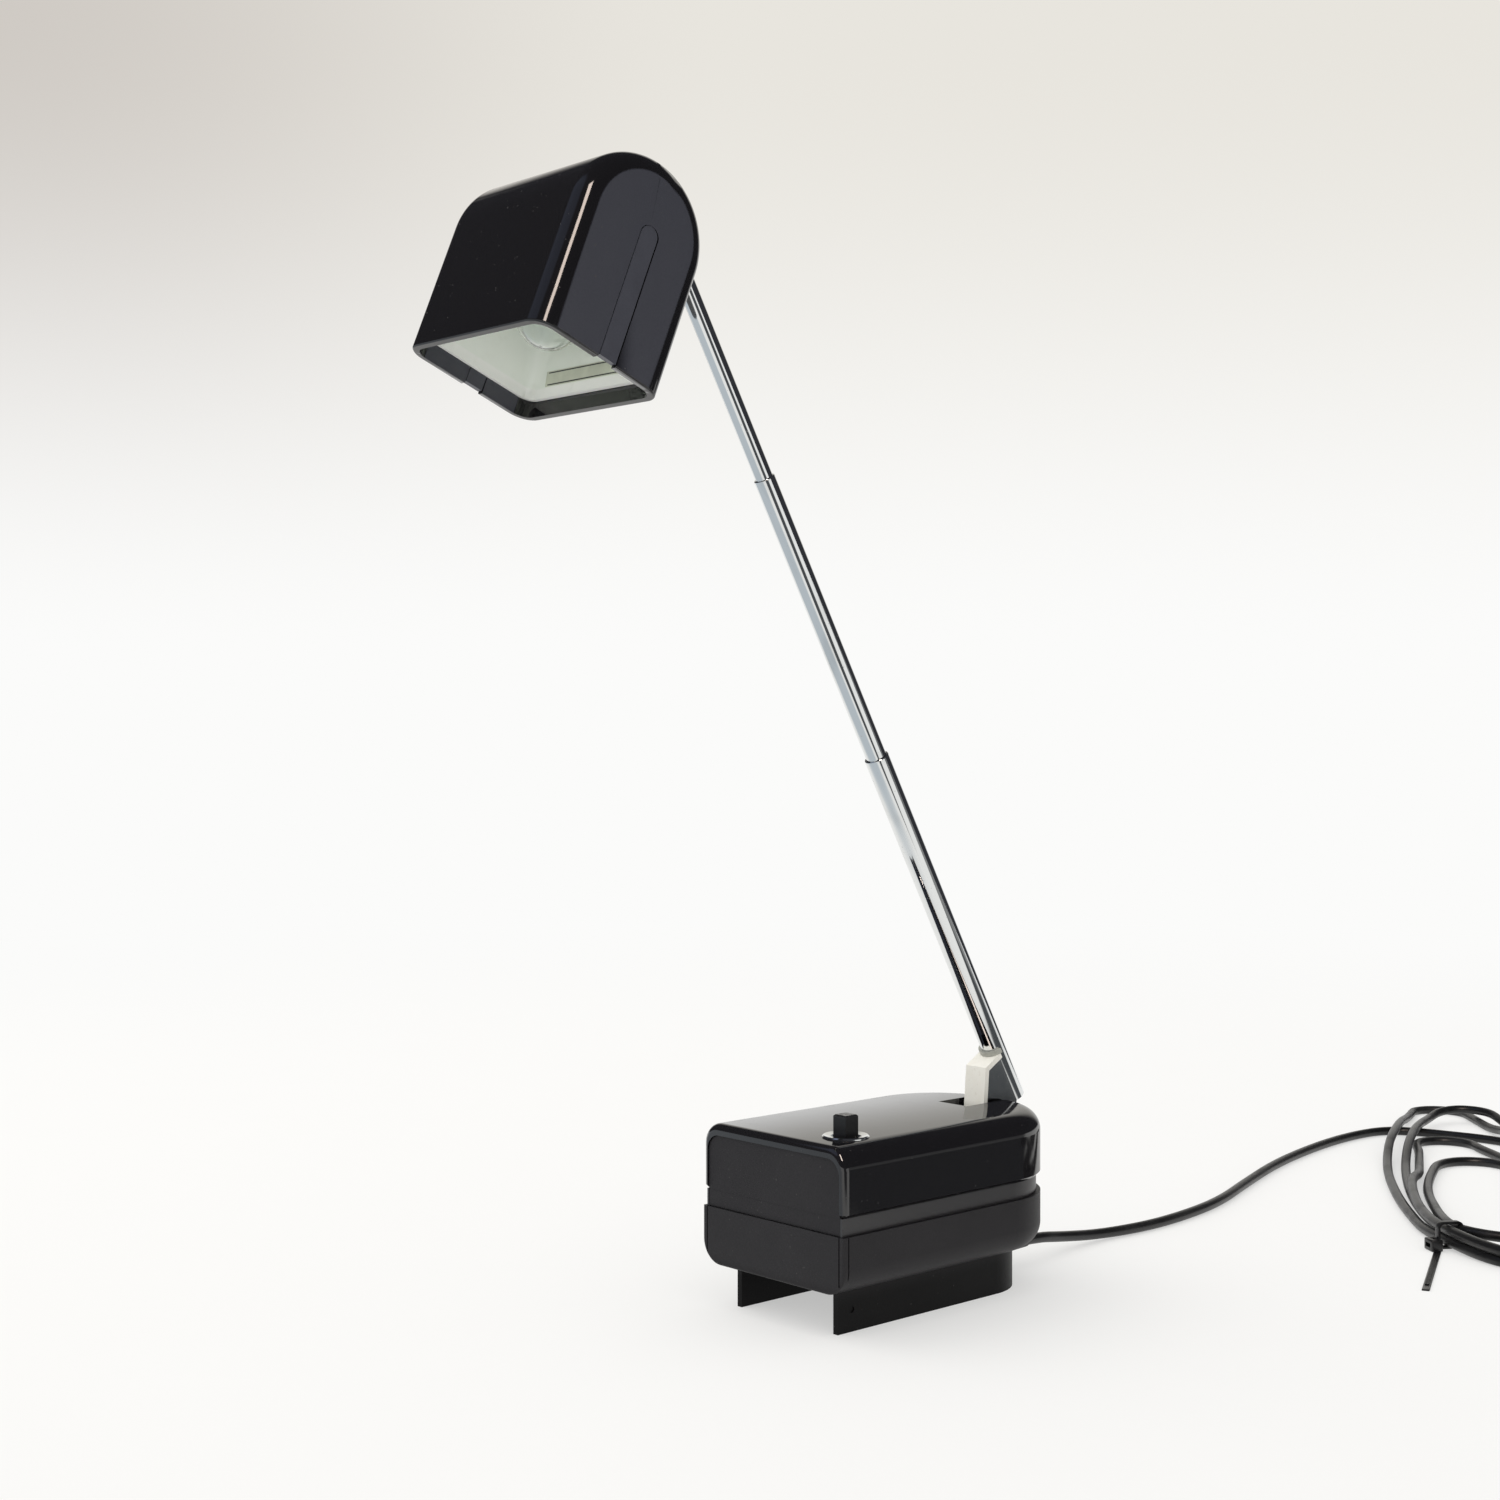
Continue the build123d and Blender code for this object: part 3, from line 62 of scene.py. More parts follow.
# Route of the mains lead in millimetres, from the rear of the base to the plug. It runs
# along the floor to a hank of four long turns, which the cable tie holds at one place.
# A place without a height lies on the floor.
ON_FLOOR = 1.8
LEAD_ROUTE = [
    (0, 44.35, 7.2), (0, 66.95, 7.2), (-1.8, 84, 4.4), (-1.7, 103, 2.2), (0.6, 127), (-0.8, 151),
    (-6, 179), (-18.5, 213), (-33, 255), (-42.5, 299), (-45.5, 330), (-43, 350), (-32, 357.5),
    (-18, 361), (-3, 364.5), (14, 363), (34, 350), (56, 328), (78, 301), (99, 270), (117, 237),
    (128, 206), (127, 184), (116, 170.5), (102, 173, 2), (86, 181, 2.85), (69, 193.8, 1.9),
    (54.4, 210.2), (40.4, 226.7), (25.4, 246.1), (10.1, 267.3), (-3.5, 288.5, 2.4), (-13, 305, 4.8),
    (-20, 318.5, 6.2), (-31, 341, 6.2), (-41, 361, 4.8), (-49.5, 379, 2.4), (-56.2, 394.1),
    (-59.9, 402), (-57.7, 410.4), (-50.7, 415.4), (-42, 414.8), (-35.7, 408.7), (-26, 399.5),
    (-15, 389), (-4, 378.5, 3.4), (7, 367.5, 6), (19, 354, 6), (33, 340, 3.2), (51.5, 321.5),
    (73.5, 295), (94.5, 264.5), (112, 233), (122.5, 205), (122, 189), (112, 178.5), (100, 180, 2.2),
    (88.6, 184.2, 2.85), (73, 197.5, 2), (56.4, 215.5), (42.8, 232), (28.2, 252), (14, 273.5),
    (3, 291.5, 2.6), (-5, 306, 5), (-12, 319.5, 6.2), (-23, 342, 6.2), (-30.5, 359, 5.4),
    (-35.8, 372.5, 4.4), (-38.9, 381.8, 4.4), (-40.2, 390.5, 5.4), (-36.8, 398.6, 6.2),
    (-29.2, 402.6, 6.2), (-20.6, 401, 6), (-12.5, 395, 4.4), (-3, 387.5, 2.2), (8, 378.5),
    (24, 366.5), (41, 351.5), (60, 331), (82, 303.5), (103, 272.5), (121, 239.5), (132, 206),
    (131, 182, 3.2), (119, 169.5, 5.2), (103, 172.5, 5.7), (86, 181, 6.4), (73, 192.5, 5.7),
    (60.6, 206.5, 5.4), (48.4, 222.5, 5.4), (37, 239.5, 5.4), (27.5, 255.5, 4.9),
    (19.8, 273.5, 2.9), (10, 290), (1, 305), (-8, 320), (-14.5, 328.5), (-18.2, 336.4),
    (-16, 344.8), (-9, 349.8), (-0.3, 349.2), (6, 343.1), (21, 332.5), (40, 317.5), (58.5, 295),
    (76.5, 267), (92.5, 239), (105, 218, 2.8), (112, 203, 4.6), (110.5, 193, 5.5),
    (100, 186.2, 5.9), (88.4, 184.4, 6.4), (79, 192.6, 5.9), (68, 206, 4.9), (57, 221.5, 3.6),
    (45.5, 238, 2.2), (34.2, 255), (25, 272), (17.8, 287), (13.4, 296.5), (12.3, 305.5),
    (15.2, 314), (23.3, 319.4), (32.8, 317.6), (39.4, 310.2), (50, 292.5), (64, 269),
    (79, 250.5, 3.4), (91, 239, 6.8), (105, 230, 7.4), (119, 225.8, 7.4), (133.6, 229.06, 6.85),
    (137.35, 230.45, 6.85),
]


def linear(code):
    """A colour code of six hex digits as linear red, green and blue."""
    parts = [int(code[k : k + 2], 16) / 255 for k in (0, 2, 4)]
    return [c / 12.92 if c <= 0.04045 else ((c + 0.055) / 1.055) ** 2.4 for c in parts]


def colour_prop(name, description, code):
    return FloatVectorProperty(
        name=name, description=description, subtype="COLOR", size=3, min=0, max=1,
        default=linear(code),
    )


def length_prop(name, description, millimetres):
    return FloatProperty(
        name=name, description=description, unit="LENGTH", subtype="DISTANCE", min=0,
        default=millimetres * MM,
    )


# ---------------------------------------------------------------- settings
class LampFinishSettings(bpy.types.PropertyGroup):
    """Colours of the lamp's finishes"""

    gloss: colour_prop("Gloss black", "Moulded cover and head", "171618")
    satin: colour_prop("Satin charcoal", "Lower shell and front panel", "29282a")
    end_face: colour_prop("End faces", "Grained ends of the head", "3f4048")
    ivory: colour_prop("Ivory", "Hood at the foot of the arm", "f5f3ea")
    enamel: colour_prop("Enamel", "Inside of the reflector", "f0f6ee")
    # Painted light: the enamel's band next to the mouth is painted paler than the rest
    painted_light_lip: colour_prop("Enamel lip", "Thicker enamel near the mouth", "f9fbf7")
    chrome: colour_prop("Chrome", "Tubes and bright fittings", "e4e6e6")
    copper: colour_prop("Copper wire", "Enamelled wire of both windings", "b0562a")
    sheath: colour_prop("Lead sheath", "Sheath of the mains lead", "101011")


class MainsLeadSettings(bpy.types.PropertyGroup):
    """The mains lead"""

    diameter: length_prop("Diameter", "Over the sheath", 3.6)
    length: length_prop("Length", "From the base to the plug", 2605)
    turn_smoothness: IntProperty(
        name="Smoothness", description="Steps between two points of the route", default=7, min=2
    )


class CableTieSettings(bpy.types.PropertyGroup):
    """The cable tie round the hank"""

    place: FloatVectorProperty(
        name="Place", description="Middle of the strapped strands, on the floor",
        subtype="TRANSLATION", size=3, default=(85.3 * MM, 182.8 * MM, 0),
    )
    across: FloatVectorProperty(
        name="Across", description="Direction across the strands", subtype="DIRECTION", size=3,
        default=(0.54, 0.8417, 0),
    )
    tail_heading: FloatVectorProperty(
        name="Tail heading", description="Direction of the loose tail", subtype="DIRECTION",
        size=3, default=(0.447, -0.8945, 0),
    )
    bundle_width: length_prop("Bundle width", "Over the strap", 9.4)
    bundle_height: length_prop("Bundle height", "Over the strap", 9.2)
    strap_width: length_prop("Strap width", "Width of the strap", 2.4)
    strap_sheet: length_prop("Strap thickness", "Thickness of the strap", 0.9)
    head_across: length_prop("Head depth", "Ratchet head, away from the strands", 4.4)
    head_along: length_prop("Head length", "Ratchet head, along the strands", 6.0)
    head_height: length_prop("Head height", "Ratchet head, above the floor", 4.0)
    tail_length: length_prop("Tail length", "Loose tail on the floor", 54.0)
    tooth_pitch: length_prop("Tooth pitch", "From one tooth of the strap to the next", 1.0)


class HeadFormSettings(bpy.types.PropertyGroup):
    """Form of the head"""

    width: length_prop("Width", "Over both end faces", 62.0)
    depth: length_prop("Depth", "From front to rear, and across the arch", 44.3)
    arch: length_prop("Arch", "Height of the arch's centre above the mouth", 37.7)
    tongue_middle: length_prop("Tongue place", "Tongue's middle, behind the head's", 1.4)
    tongue_top: length_prop("Tongue top", "Top of the tongue above the mouth", 40.3)
    mouth: FloatVectorProperty(
        name="Mouth", description="Middle of the mouth", subtype="TRANSLATION", size=3,
        default=(0, -139.8 * MM, 272.05 * MM),
    )
    pitch: FloatProperty(
        name="Pitch", description="Lean of the head, mouth turned forward", subtype="ANGLE",
        unit="ROTATION", default=math.radians(22.3),
    )


class BareLabelSettings(bpy.types.PropertyGroup):
    """The bare label inside the reflector"""

    width: length_prop("Width", "Along the mouth", 42.0)
    height: length_prop("Height", "Into the reflector", 4.4)
    sheet: length_prop("Thickness", "Thickness of the label", 0.12)
    rise: length_prop("Rise", "From the head's mouth to the label's middle", 10.6)
    setting_back: length_prop("Set back", "From the head's middle to the wall there", 17.9)
    rule_inset: length_prop("Rule inset", "From the label's edge to a rule", 0.5)
    rule_width: length_prop("Rule width", "Width of a rule", 0.36)
    paper: colour_prop("Label", "Bare label", "c3c8b7")
    rule: colour_prop("Rules", "Thin rules along the label", "262825")


class StudioSettings(bpy.types.PropertyGroup):
    """Camera, floor and light"""

    camera_place: FloatVectorProperty(
        name="Camera", description="Place of the camera", subtype="TRANSLATION", size=3,
        default=(0.4765, -0.4932, 0.177),
    )
    camera_turn: FloatProperty(
        name="Camera turn", description="Turn of the level camera about the vertical",
        subtype="ANGLE", unit="ROTATION", default=math.radians(47.75),
    )
    camera_lens: FloatProperty(
        name="Lens", description="Focal length in millimetres", default=52.635, min=1
    )
    camera_shift: FloatProperty(
        name="Shift", description="Upward shift, as a share of the frame", default=-0.01567
    )
    floor_reach: FloatProperty(
        name="Floor", description="Half width of the floor", unit="LENGTH", default=5.0
    )
    floor_colour: colour_prop("Floor", "Pale floor", "f1f0ee")
    backdrop: colour_prop("Backdrop", "Background at the horizon", "fbfbfa")
    backdrop_top: colour_prop("Backdrop above", "Background above the lamp", "e8e5de")
    backdrop_side: colour_prop("Backdrop side", "Background above, on the left", "cfcac4")
    fill: FloatProperty(name="Fill", description="Even light of the room", default=0.95, min=0)
    key_power: FloatProperty(
        name="Key", description="Soft light above", subtype="POWER", default=3.0, min=0
    )
    strip_power: FloatProperty(
        name="Strip", description="Tall warm window beside the camera", subtype="POWER",
        default=14.0, min=0,
    )


SETTINGS = {
    "lamp_finishes": LampFinishSettings,
    "mains_lead": MainsLeadSettings,
    "cable_tie": CableTieSettings,
    "head_form": HeadFormSettings,
    "bare_label": BareLabelSettings,
    "studio": StudioSettings,
}


# ---------------------------------------------------------------- shader nodes
class Value:
    """One shader value; sums, products and powers of it add their Math nodes."""

    def __init__(self, shader, socket):
        self.shader = shader
        self.socket = socket

    def maths(self, operation, *others, first=None):
        values = (self, *others) if first is None else (first, self)
        return self.shader.node("ShaderNodeMath", {"operation": operation}, dict(enumerate(values)))

    def __add__(self, other):
        return self.maths("ADD", other)

    __radd__ = __add__

    def __sub__(self, other):
        return self.maths("SUBTRACT", other)

    def __rsub__(self, other):
        return self.maths("SUBTRACT", first=other)

    def __mul__(self, other):
        return self.maths("MULTIPLY", other)

    __rmul__ = __mul__

    def __truediv__(self, other):
        return self.maths("DIVIDE", other)

    def __lt__(self, other):
        return self.maths("LESS_THAN", other)

    def size(self):
        return self.maths("ABSOLUTE")

    def rise(self, low, high, start=0.0, end=1.0):
        """A smooth step of the value from start at low to end at high."""
        settings = {"interpolation_type": "SMOOTHSTEP"}
        sockets = {0: self, 1: low, 2: high, 3: start, 4: end}
        return self.shader.node("ShaderNodeMapRange", settings, sockets)


class Shader:
    """The node tree of one material, or of the world."""

    def __init__(self, owner):
        owner.use_nodes = True
        self.tree = owner.node_tree
        self.tree.nodes.clear()
        self.generated = self.node("ShaderNodeTexCoord", out=0)
        self.facing = Value(self, self.generated.socket.node.outputs[1])
        self.place = Value(self, self.generated.socket.node.outputs[3])

    def node(self, kind, settings=None, sockets=None, out=0):
        """Adds one node: its settings first, then the values or links of its sockets."""
        made = self.tree.nodes.new(kind)
        for key, value in (settings or {}).items():
            setattr(made, key, value)
        for key, value in (sockets or {}).items():
            if isinstance(value, Value):
                self.tree.links.new(value.socket, made.inputs[key])
            elif isinstance(made.inputs[key].default_value, float):
                made.inputs[key].default_value = float(value)
            else:
                wanted = len(made.inputs[key].default_value)
                made.inputs[key].default_value = (*value, 1.0)[:wanted]
        return Value(self, made.outputs[out]) if made.outputs else made

    def part(self, vector, axis):
        """The part of a vector along X, Y or Z, which are 0, 1 and 2."""
        return self.node("ShaderNodeSeparateXYZ", None, {0: vector}, out=axis)

    def rays(self):
        """Masks of the camera's rays, glossy rays and rays that pass through a surface."""
        outputs = self.node("ShaderNodeLightPath").socket.node.outputs
        return (Value(self, outputs[k]) for k in (0, 3, 6))

    def dot(self, vector, direction):
        return self.node(
            "ShaderNodeVectorMath", {"operation": "DOT_PRODUCT"}, {0: vector, 1: direction}, out=1
        )

    def blend(self, one, two, share):
        """Colour one, changing to colour two where share is 1."""
        settings = {"data_type": "RGBA", "clamp_factor": True}
        return self.node("ShaderNodeMix", settings, {0: share, 6: one, 7: two}, out=2)

    def noise(self, size, detail=2.0, roughness=0.55, stretch=(1, 1, 1), turn=(0, 0, 0)):
        """Noise whose patches are about size metres across."""
        place = self.node(
            "ShaderNodeMapping", {"vector_type": "TEXTURE"},
            {0: self.place, "Rotation": turn, "Scale": stretch},
        )
        sockets = {"Vector": place, "Scale": 1 / size, "Detail": detail, "Roughness": roughness}
        return self.node("ShaderNodeTexNoise", None, sockets)

    def bump(self, height, depth, strength=1.0, under=None):
        """A bumped normal from a height between 0 and 1, depth metres deep."""
        sockets = {"Strength": strength, "Distance": depth, "Height": height}
        if under is not None:
            sockets["Normal"] = under
        return self.node("ShaderNodeBump", None, sockets)

    def surface(self, colour, roughness, metallic=0.0, normal=None, **constants):
        """The Principled surface of a material, joined to its output."""
        sockets = {"Base Color": colour, "Roughness": roughness, "Metallic": metallic}
        if normal is not None:
            sockets["Normal"] = normal
        for name, value in constants.items():
            sockets[name.replace("_", " ")] = value
        shaded = self.node("ShaderNodeBsdfPrincipled", None, sockets)
        self.node("ShaderNodeOutputMaterial", None, {"Surface": shaded})


def new_material(name):
    material = bpy.data.materials.new(name)
    return material, Shader(material)


# ---------------------------------------------------------------- finishes
ARM_LEAN = (math.radians(29.7), 0, 0)       # the tubes' length, from the upright
HEAD_PITCH = (math.radians(-22.3), 0, 0)    # the head's height, from the upright
BELT_TOP = 35.8 * MM
CROWN_HALF = 30.6 * MM    # half of the cover's width,
CROWN_RISE = 1.8 * MM     # over which its top's shine falls away as much as this crown would


def head_axes():
    """Directions up the head from its mouth and towards its back, and the mouth's middle."""
    form = bpy.context.scene.head_form
    up = Vector((0, math.sin(form.pitch), math.cos(form.pitch)))
    return up, Vector((0, up.z, -up.y)), Vector(form.mouth)


def above_mouth(s):
    """Height above the head's mouth, as a shader value."""
    up, back, mouth = head_axes()
    return s.dot(s.place, up) - mouth.dot(up)


def dusted(s, colour, amount=0.8):
    """The colour with a few pale specks of dust, and a mask of those specks."""
    specks = s.noise(0.0011, detail=1).rise(0.755, 0.79)
    return s.blend(colour, (0.07, 0.067, 0.064), specks * amount), specks


def moulded_cover(look):
    """Polished black cover, a little crowned, with a satin belt along its foot."""
    material, s = new_material("moulded_cover")
    height = s.part(s.place, 2)
    sideways = s.part(s.place, 0) / CROWN_HALF
    crown = s.bump(1 - sideways * sideways, CROWN_RISE)
    belt = 1 - height.rise(BELT_TOP - 0.0001, BELT_TOP + 0.0001)
    cloud = s.noise(0.012, detail=3)
    colour = s.blend(look.gloss, look.satin, belt * 0.9)
    colour, specks = dusted(s, colour, 0.35)
    polish = 0.055 + cloud.rise(0.35, 0.75) * 0.05 + belt * 0.3 + specks * 0.25
    grain = s.noise(0.0004, detail=2)
    sink = s.bump(cloud, 0.00006, 0.35, crown)
    normal = s.bump(grain * belt, 0.00004, 0.6, sink)
    s.surface(colour, polish, normal=normal, IOR=1.68)
    return material


def moulded_head(look):
    """Polished black head whose flat ends have a fine grain."""
    material, s = new_material("moulded_head")
    sideways = s.part(s.facing, 0).size()
    flat = sideways.rise(0.985, 0.998)
    cloud = s.noise(0.009, detail=3)
    ripple = s.noise(0.004, detail=1, stretch=(1, 1, 1.6), turn=HEAD_PITCH)
    colour = s.blend(look.gloss, look.end_face, flat)
    colour, specks = dusted(s, colour, 0.7)
    polish = 0.06 + cloud.rise(0.4, 0.8) * 0.05 + flat * 0.27 + specks * 0.25
    grain = s.noise(0.00042, detail=2)
    sink = s.bump(ripple, 0.00005, 0.5)
    normal = s.bump(grain * flat, 0.00006, 0.7, sink)
    s.surface(colour, polish, normal=normal, IOR=1.5)
    return material


def satin_shell(look):
    """Charcoal plastic with a spark-eroded grain."""
    material, s = new_material("satin_shell")
    grain = s.noise(0.00045, detail=3)
    cloud = s.noise(0.016, detail=3)
    pale = [1.35 * c for c in look.satin]
    colour = s.blend(look.satin, pale, cloud.rise(0.3, 0.8) * 0.5 + grain.rise(0.4, 0.7) * 0.35)
    height = s.part(s.place, 2)
    # Painted shade: below 17 mm the colour darkens towards a tenth of itself, fully so below 8 mm
    colour = s.blend(colour, [0.1 * c for c in look.satin], 1 - height.rise(0.008, 0.017))
    colour, specks = dusted(s, colour, 0.5)
    s.surface(
        colour, 0.4 + cloud * 0.12, normal=s.bump(grain, 0.00007, 0.65), Specular_IOR_Level=0.15
    )
    return material


def grained_tongue(look):
    """The grained tongues let into the head's ends."""
    material, s = new_material("grained_tongue")
    grain = s.noise(0.00042, detail=2)
    cloud = s.noise(0.008, detail=2)
    colour = s.blend(look.end_face, [1.5 * c for c in look.end_face], cloud * 0.6)
    s.surface(colour, 0.3 + cloud * 0.08, normal=s.bump(grain, 0.00006, 0.7), IOR=1.5)
    return material


def knob_plastic(look):
    """Black plastic of the push button, worn brighter on top."""
    material, s = new_material("knob_plastic")
    height = s.part(s.place, 2)
    worn = height.rise(0.0619, 0.0627) * s.noise(0.0012, detail=3).rise(0.35, 0.7)
    grain = s.noise(0.0003, detail=2)
    colour = s.blend(linear("161617"), linear("3a3a3b"), worn * 0.6)
    s.surface(colour, 0.38 - worn * 0.16, normal=s.bump(grain, 0.00003, 0.5))
    return material


def plain_plastic(name, dark, pale, roughness, patch=0.004, subsurface=0.0):
    """A moulded plastic with a faint cloud and a fine grain."""

    def make(look):
        material, s = new_material(name)
        cloud = s.noise(patch, detail=3)
        grain = s.noise(0.0003, detail=2)
        colour = s.blend(linear(dark), linear(pale), cloud.rise(0.3, 0.75))
        s.surface(
            colour, roughness + (cloud - 0.5) * 0.15, normal=s.bump(grain, 0.00003, 0.4),
            Subsurface_Weight=subsurface, Subsurface_Radius=(0.001, 0.001, 0.001),
        )
        return material

    return make


def ivory_plastic(look):
    """Ivory plastic, a little yellowed and rubbed at its edges."""
    material, s = new_material("ivory_plastic")
    cloud = s.noise(0.005, detail=4)
    rub = s.noise(0.0014, detail=3).rise(0.6, 0.72)
    colour = s.blend(look.ivory, linear("ece8da"), cloud.rise(0.45, 0.85) * 0.5)
    colour = s.blend(colour, linear("d6d1c2"), rub * 0.25)
    normal = s.bump(s.noise(0.0004), 0.00003, 0.4)
    s.surface(colour, 0.34 + cloud * 0.16, normal=normal)
    return material


def chromed(name, turn=(0, 0, 0), draw=30.0, tone="e4e6e6", roughness=0.05):
    """Bright chrome with fine polishing lines and a few pits."""

    def make(look):
        material, s = new_material(name)
        lines = s.noise(0.00035, detail=3, stretch=(1, 1, draw), turn=turn)
        haze = s.noise(0.006, detail=3, stretch=(1, 1, 3), turn=turn)
        pits = s.noise(0.0009, detail=2).rise(0.72, 0.76)
        colour = s.blend(linear(tone), linear("a9a9a6"), haze.rise(0.5, 0.9) * 0.4)
        colour = s.blend(colour, linear("5b5650"), pits * 0.5)
        polish = roughness + haze.rise(0.4, 0.85) * 0.07 + lines.rise(0.55, 0.8) * 0.05
        normal = s.bump(lines, 0.000006, 0.35)
        s.surface(colour, polish + pits * 0.3, 1.0 - pits * 0.5, normal)
        return material

    return make


def turned_steel(name, tone, dark, roughness=0.3, patch=0.0006, stretch=(1, 1, 1), turn=(0, 0, 0)):
    """Plated steel with tool marks."""

    def make(look):
        material, s = new_material(name)
        marks = s.noise(patch, detail=4, stretch=stretch, turn=turn)
        stain = s.noise(0.003, detail=3).rise(0.5, 0.8)
        colour = s.blend(linear(tone), linear(dark), stain * 0.5 + marks.rise(0.5, 0.8) * 0.3)
        s.surface(colour, roughness + marks * 0.15, 1.0, s.bump(marks, 0.00002, 0.5))
        return material

    return make


def laminated_core(look):
    """Varnished steel sheets of the transformer, half a millimetre each."""
    material, s = new_material("laminated_core")
    height = s.part(s.place, 2)
    sheet = ((height / 0.0005).maths("FRACT") - 0.5).size().rise(0.36, 0.5)
    upright = s.part(s.facing, 2).size()
    joint = sheet * (1 - upright.rise(0.5, 0.9))
    rust = s.noise(0.004, detail=5).rise(0.6, 0.8)
    colour = s.blend(linear("6f7072"), linear("2a2624"), joint * 0.8)
    colour = s.blend(colour, linear("6e4328"), rust * 0.35)
    s.surface(colour, 0.38 + rust * 0.3, 0.85 - rust * 0.5, s.bump(1 - joint, 0.00012, 0.8))
    return material


def wound_wire(name, pitch, dark_code):
    """Enamelled copper wire wound in even turns of the given pitch in metres."""

    def make(look):
        material, s = new_material(name)
        length = s.part(s.place, 1)
        crest = 1 - ((length / pitch).maths("FRACT") - 0.5).size() * 2
        wire = crest.maths("SQRT")
        tint = s.noise(0.003, detail=2, stretch=(6, 1, 6))
        colour = s.blend(linear(dark_code), look.copper, wire)
        colour = s.blend(colour, linear("d98a4a"), tint.rise(0.5, 0.8) * 0.35)
        s.surface(
            colour, 0.28 + tint * 0.1, 0.75, s.bump(wire, pitch * 0.5, 0.9), Coat_Weight=0.4
        )
        return material

    return make


def enamelled_reflector(look):
    """White enamel with a green tinge, thicker and paler towards the mouth."""
    material, s = new_material("enamelled_reflector")
    rise = above_mouth(s)
    # Painted light: within about 8 mm of the mouth the enamel is painted paler
    lip = 1 - rise.rise(0.0078, 0.0086)
    # Painted shade: from 12 mm to 30 mm above the mouth the enamel is painted greyer
    deep = rise.rise(0.012, 0.03)
    peel = s.noise(0.0016, detail=2)
    stain = s.noise(0.006, detail=4).rise(0.55, 0.85)
    colour = s.blend(look.enamel, look.painted_light_lip, lip)
    colour = s.blend(colour, linear("d5dfd4"), deep * 0.5)
    colour = s.blend(colour, linear("b9bba6"), stain * 0.25)
    s.surface(
        colour, 0.3 + stain * 0.15, normal=s.bump(peel, 0.00004, 0.4), Coat_Weight=0.25,
        Coat_Roughness=0.12,
    )
    return material


def clear_glass(look):
    """Clear glass of the bulb, with a faint grey bloom."""
    material, s = new_material("clear_glass")
    bloom = s.noise(0.006, detail=2)
    colour = s.blend((0.97, 0.985, 0.975), (0.86, 0.88, 0.87), bloom.rise(0.5, 0.85) * 0.5)
    s.surface(colour, 0.01 + bloom * 0.03, Transmission_Weight=1.0, IOR=1.46)
    return material


def rubber(name, code, sheen=0.03, roughness=0.42, size=0.0005):
    """Black flexible plastic, a little dusty."""

    def make(look):
        material, s = new_material(name)
        grain = s.noise(size, detail=3)
        dust = s.noise(0.012, detail=4).rise(0.45, 0.8)
        base = list(look.sheath) if code is None else linear(code)
        colour = s.blend(base, [c + 0.03 for c in base], dust * 0.6)
        s.surface(
            colour, roughness + dust * 0.15, normal=s.bump(grain, 0.00004, 0.5),
            Sheen_Weight=sheen,
        )
        return material

    return make


def bare_label(look):
    """Bare pale label with a thin rule along each long edge."""
    label = bpy.context.scene.bare_label
    material, s = new_material("bare_label")
    rise = above_mouth(s) - label.rise
    sideways = s.part(s.place, 0)
    inner = label.width / 2 - 2 * label.rule_inset
    line = (rise.size() - (label.height / 2 - label.rule_inset)).size() < label.rule_width / 2
    line = line * (sideways.size() < inner)
    age = s.noise(0.004, detail=3)
    colour = s.blend(label.paper, [1.12 * c for c in label.paper], age.rise(0.35, 0.7))
    colour = s.blend(colour, label.rule, line)
    s.surface(colour, 0.42 + age * 0.1, normal=s.bump(s.noise(0.0005), 0.00002, 0.4))
    return material


ZINC = ("b4b2a8", "6b685e")
PIN_STEEL = ("bfc1c2", "6f7072", 0.22, 0.0004, (12, 1, 1))
CORE_BRASS = ("c9a35a", "7c5f2e", 0.3, 0.0004, (1, 1, 20), ARM_LEAN)
RING_NYLON = ("8e8f8e", "a3a4a2", 0.42)
PLUG_NYLON = ("b9b4a2", "cfcab8", 0.45, 0.002, 0.2)

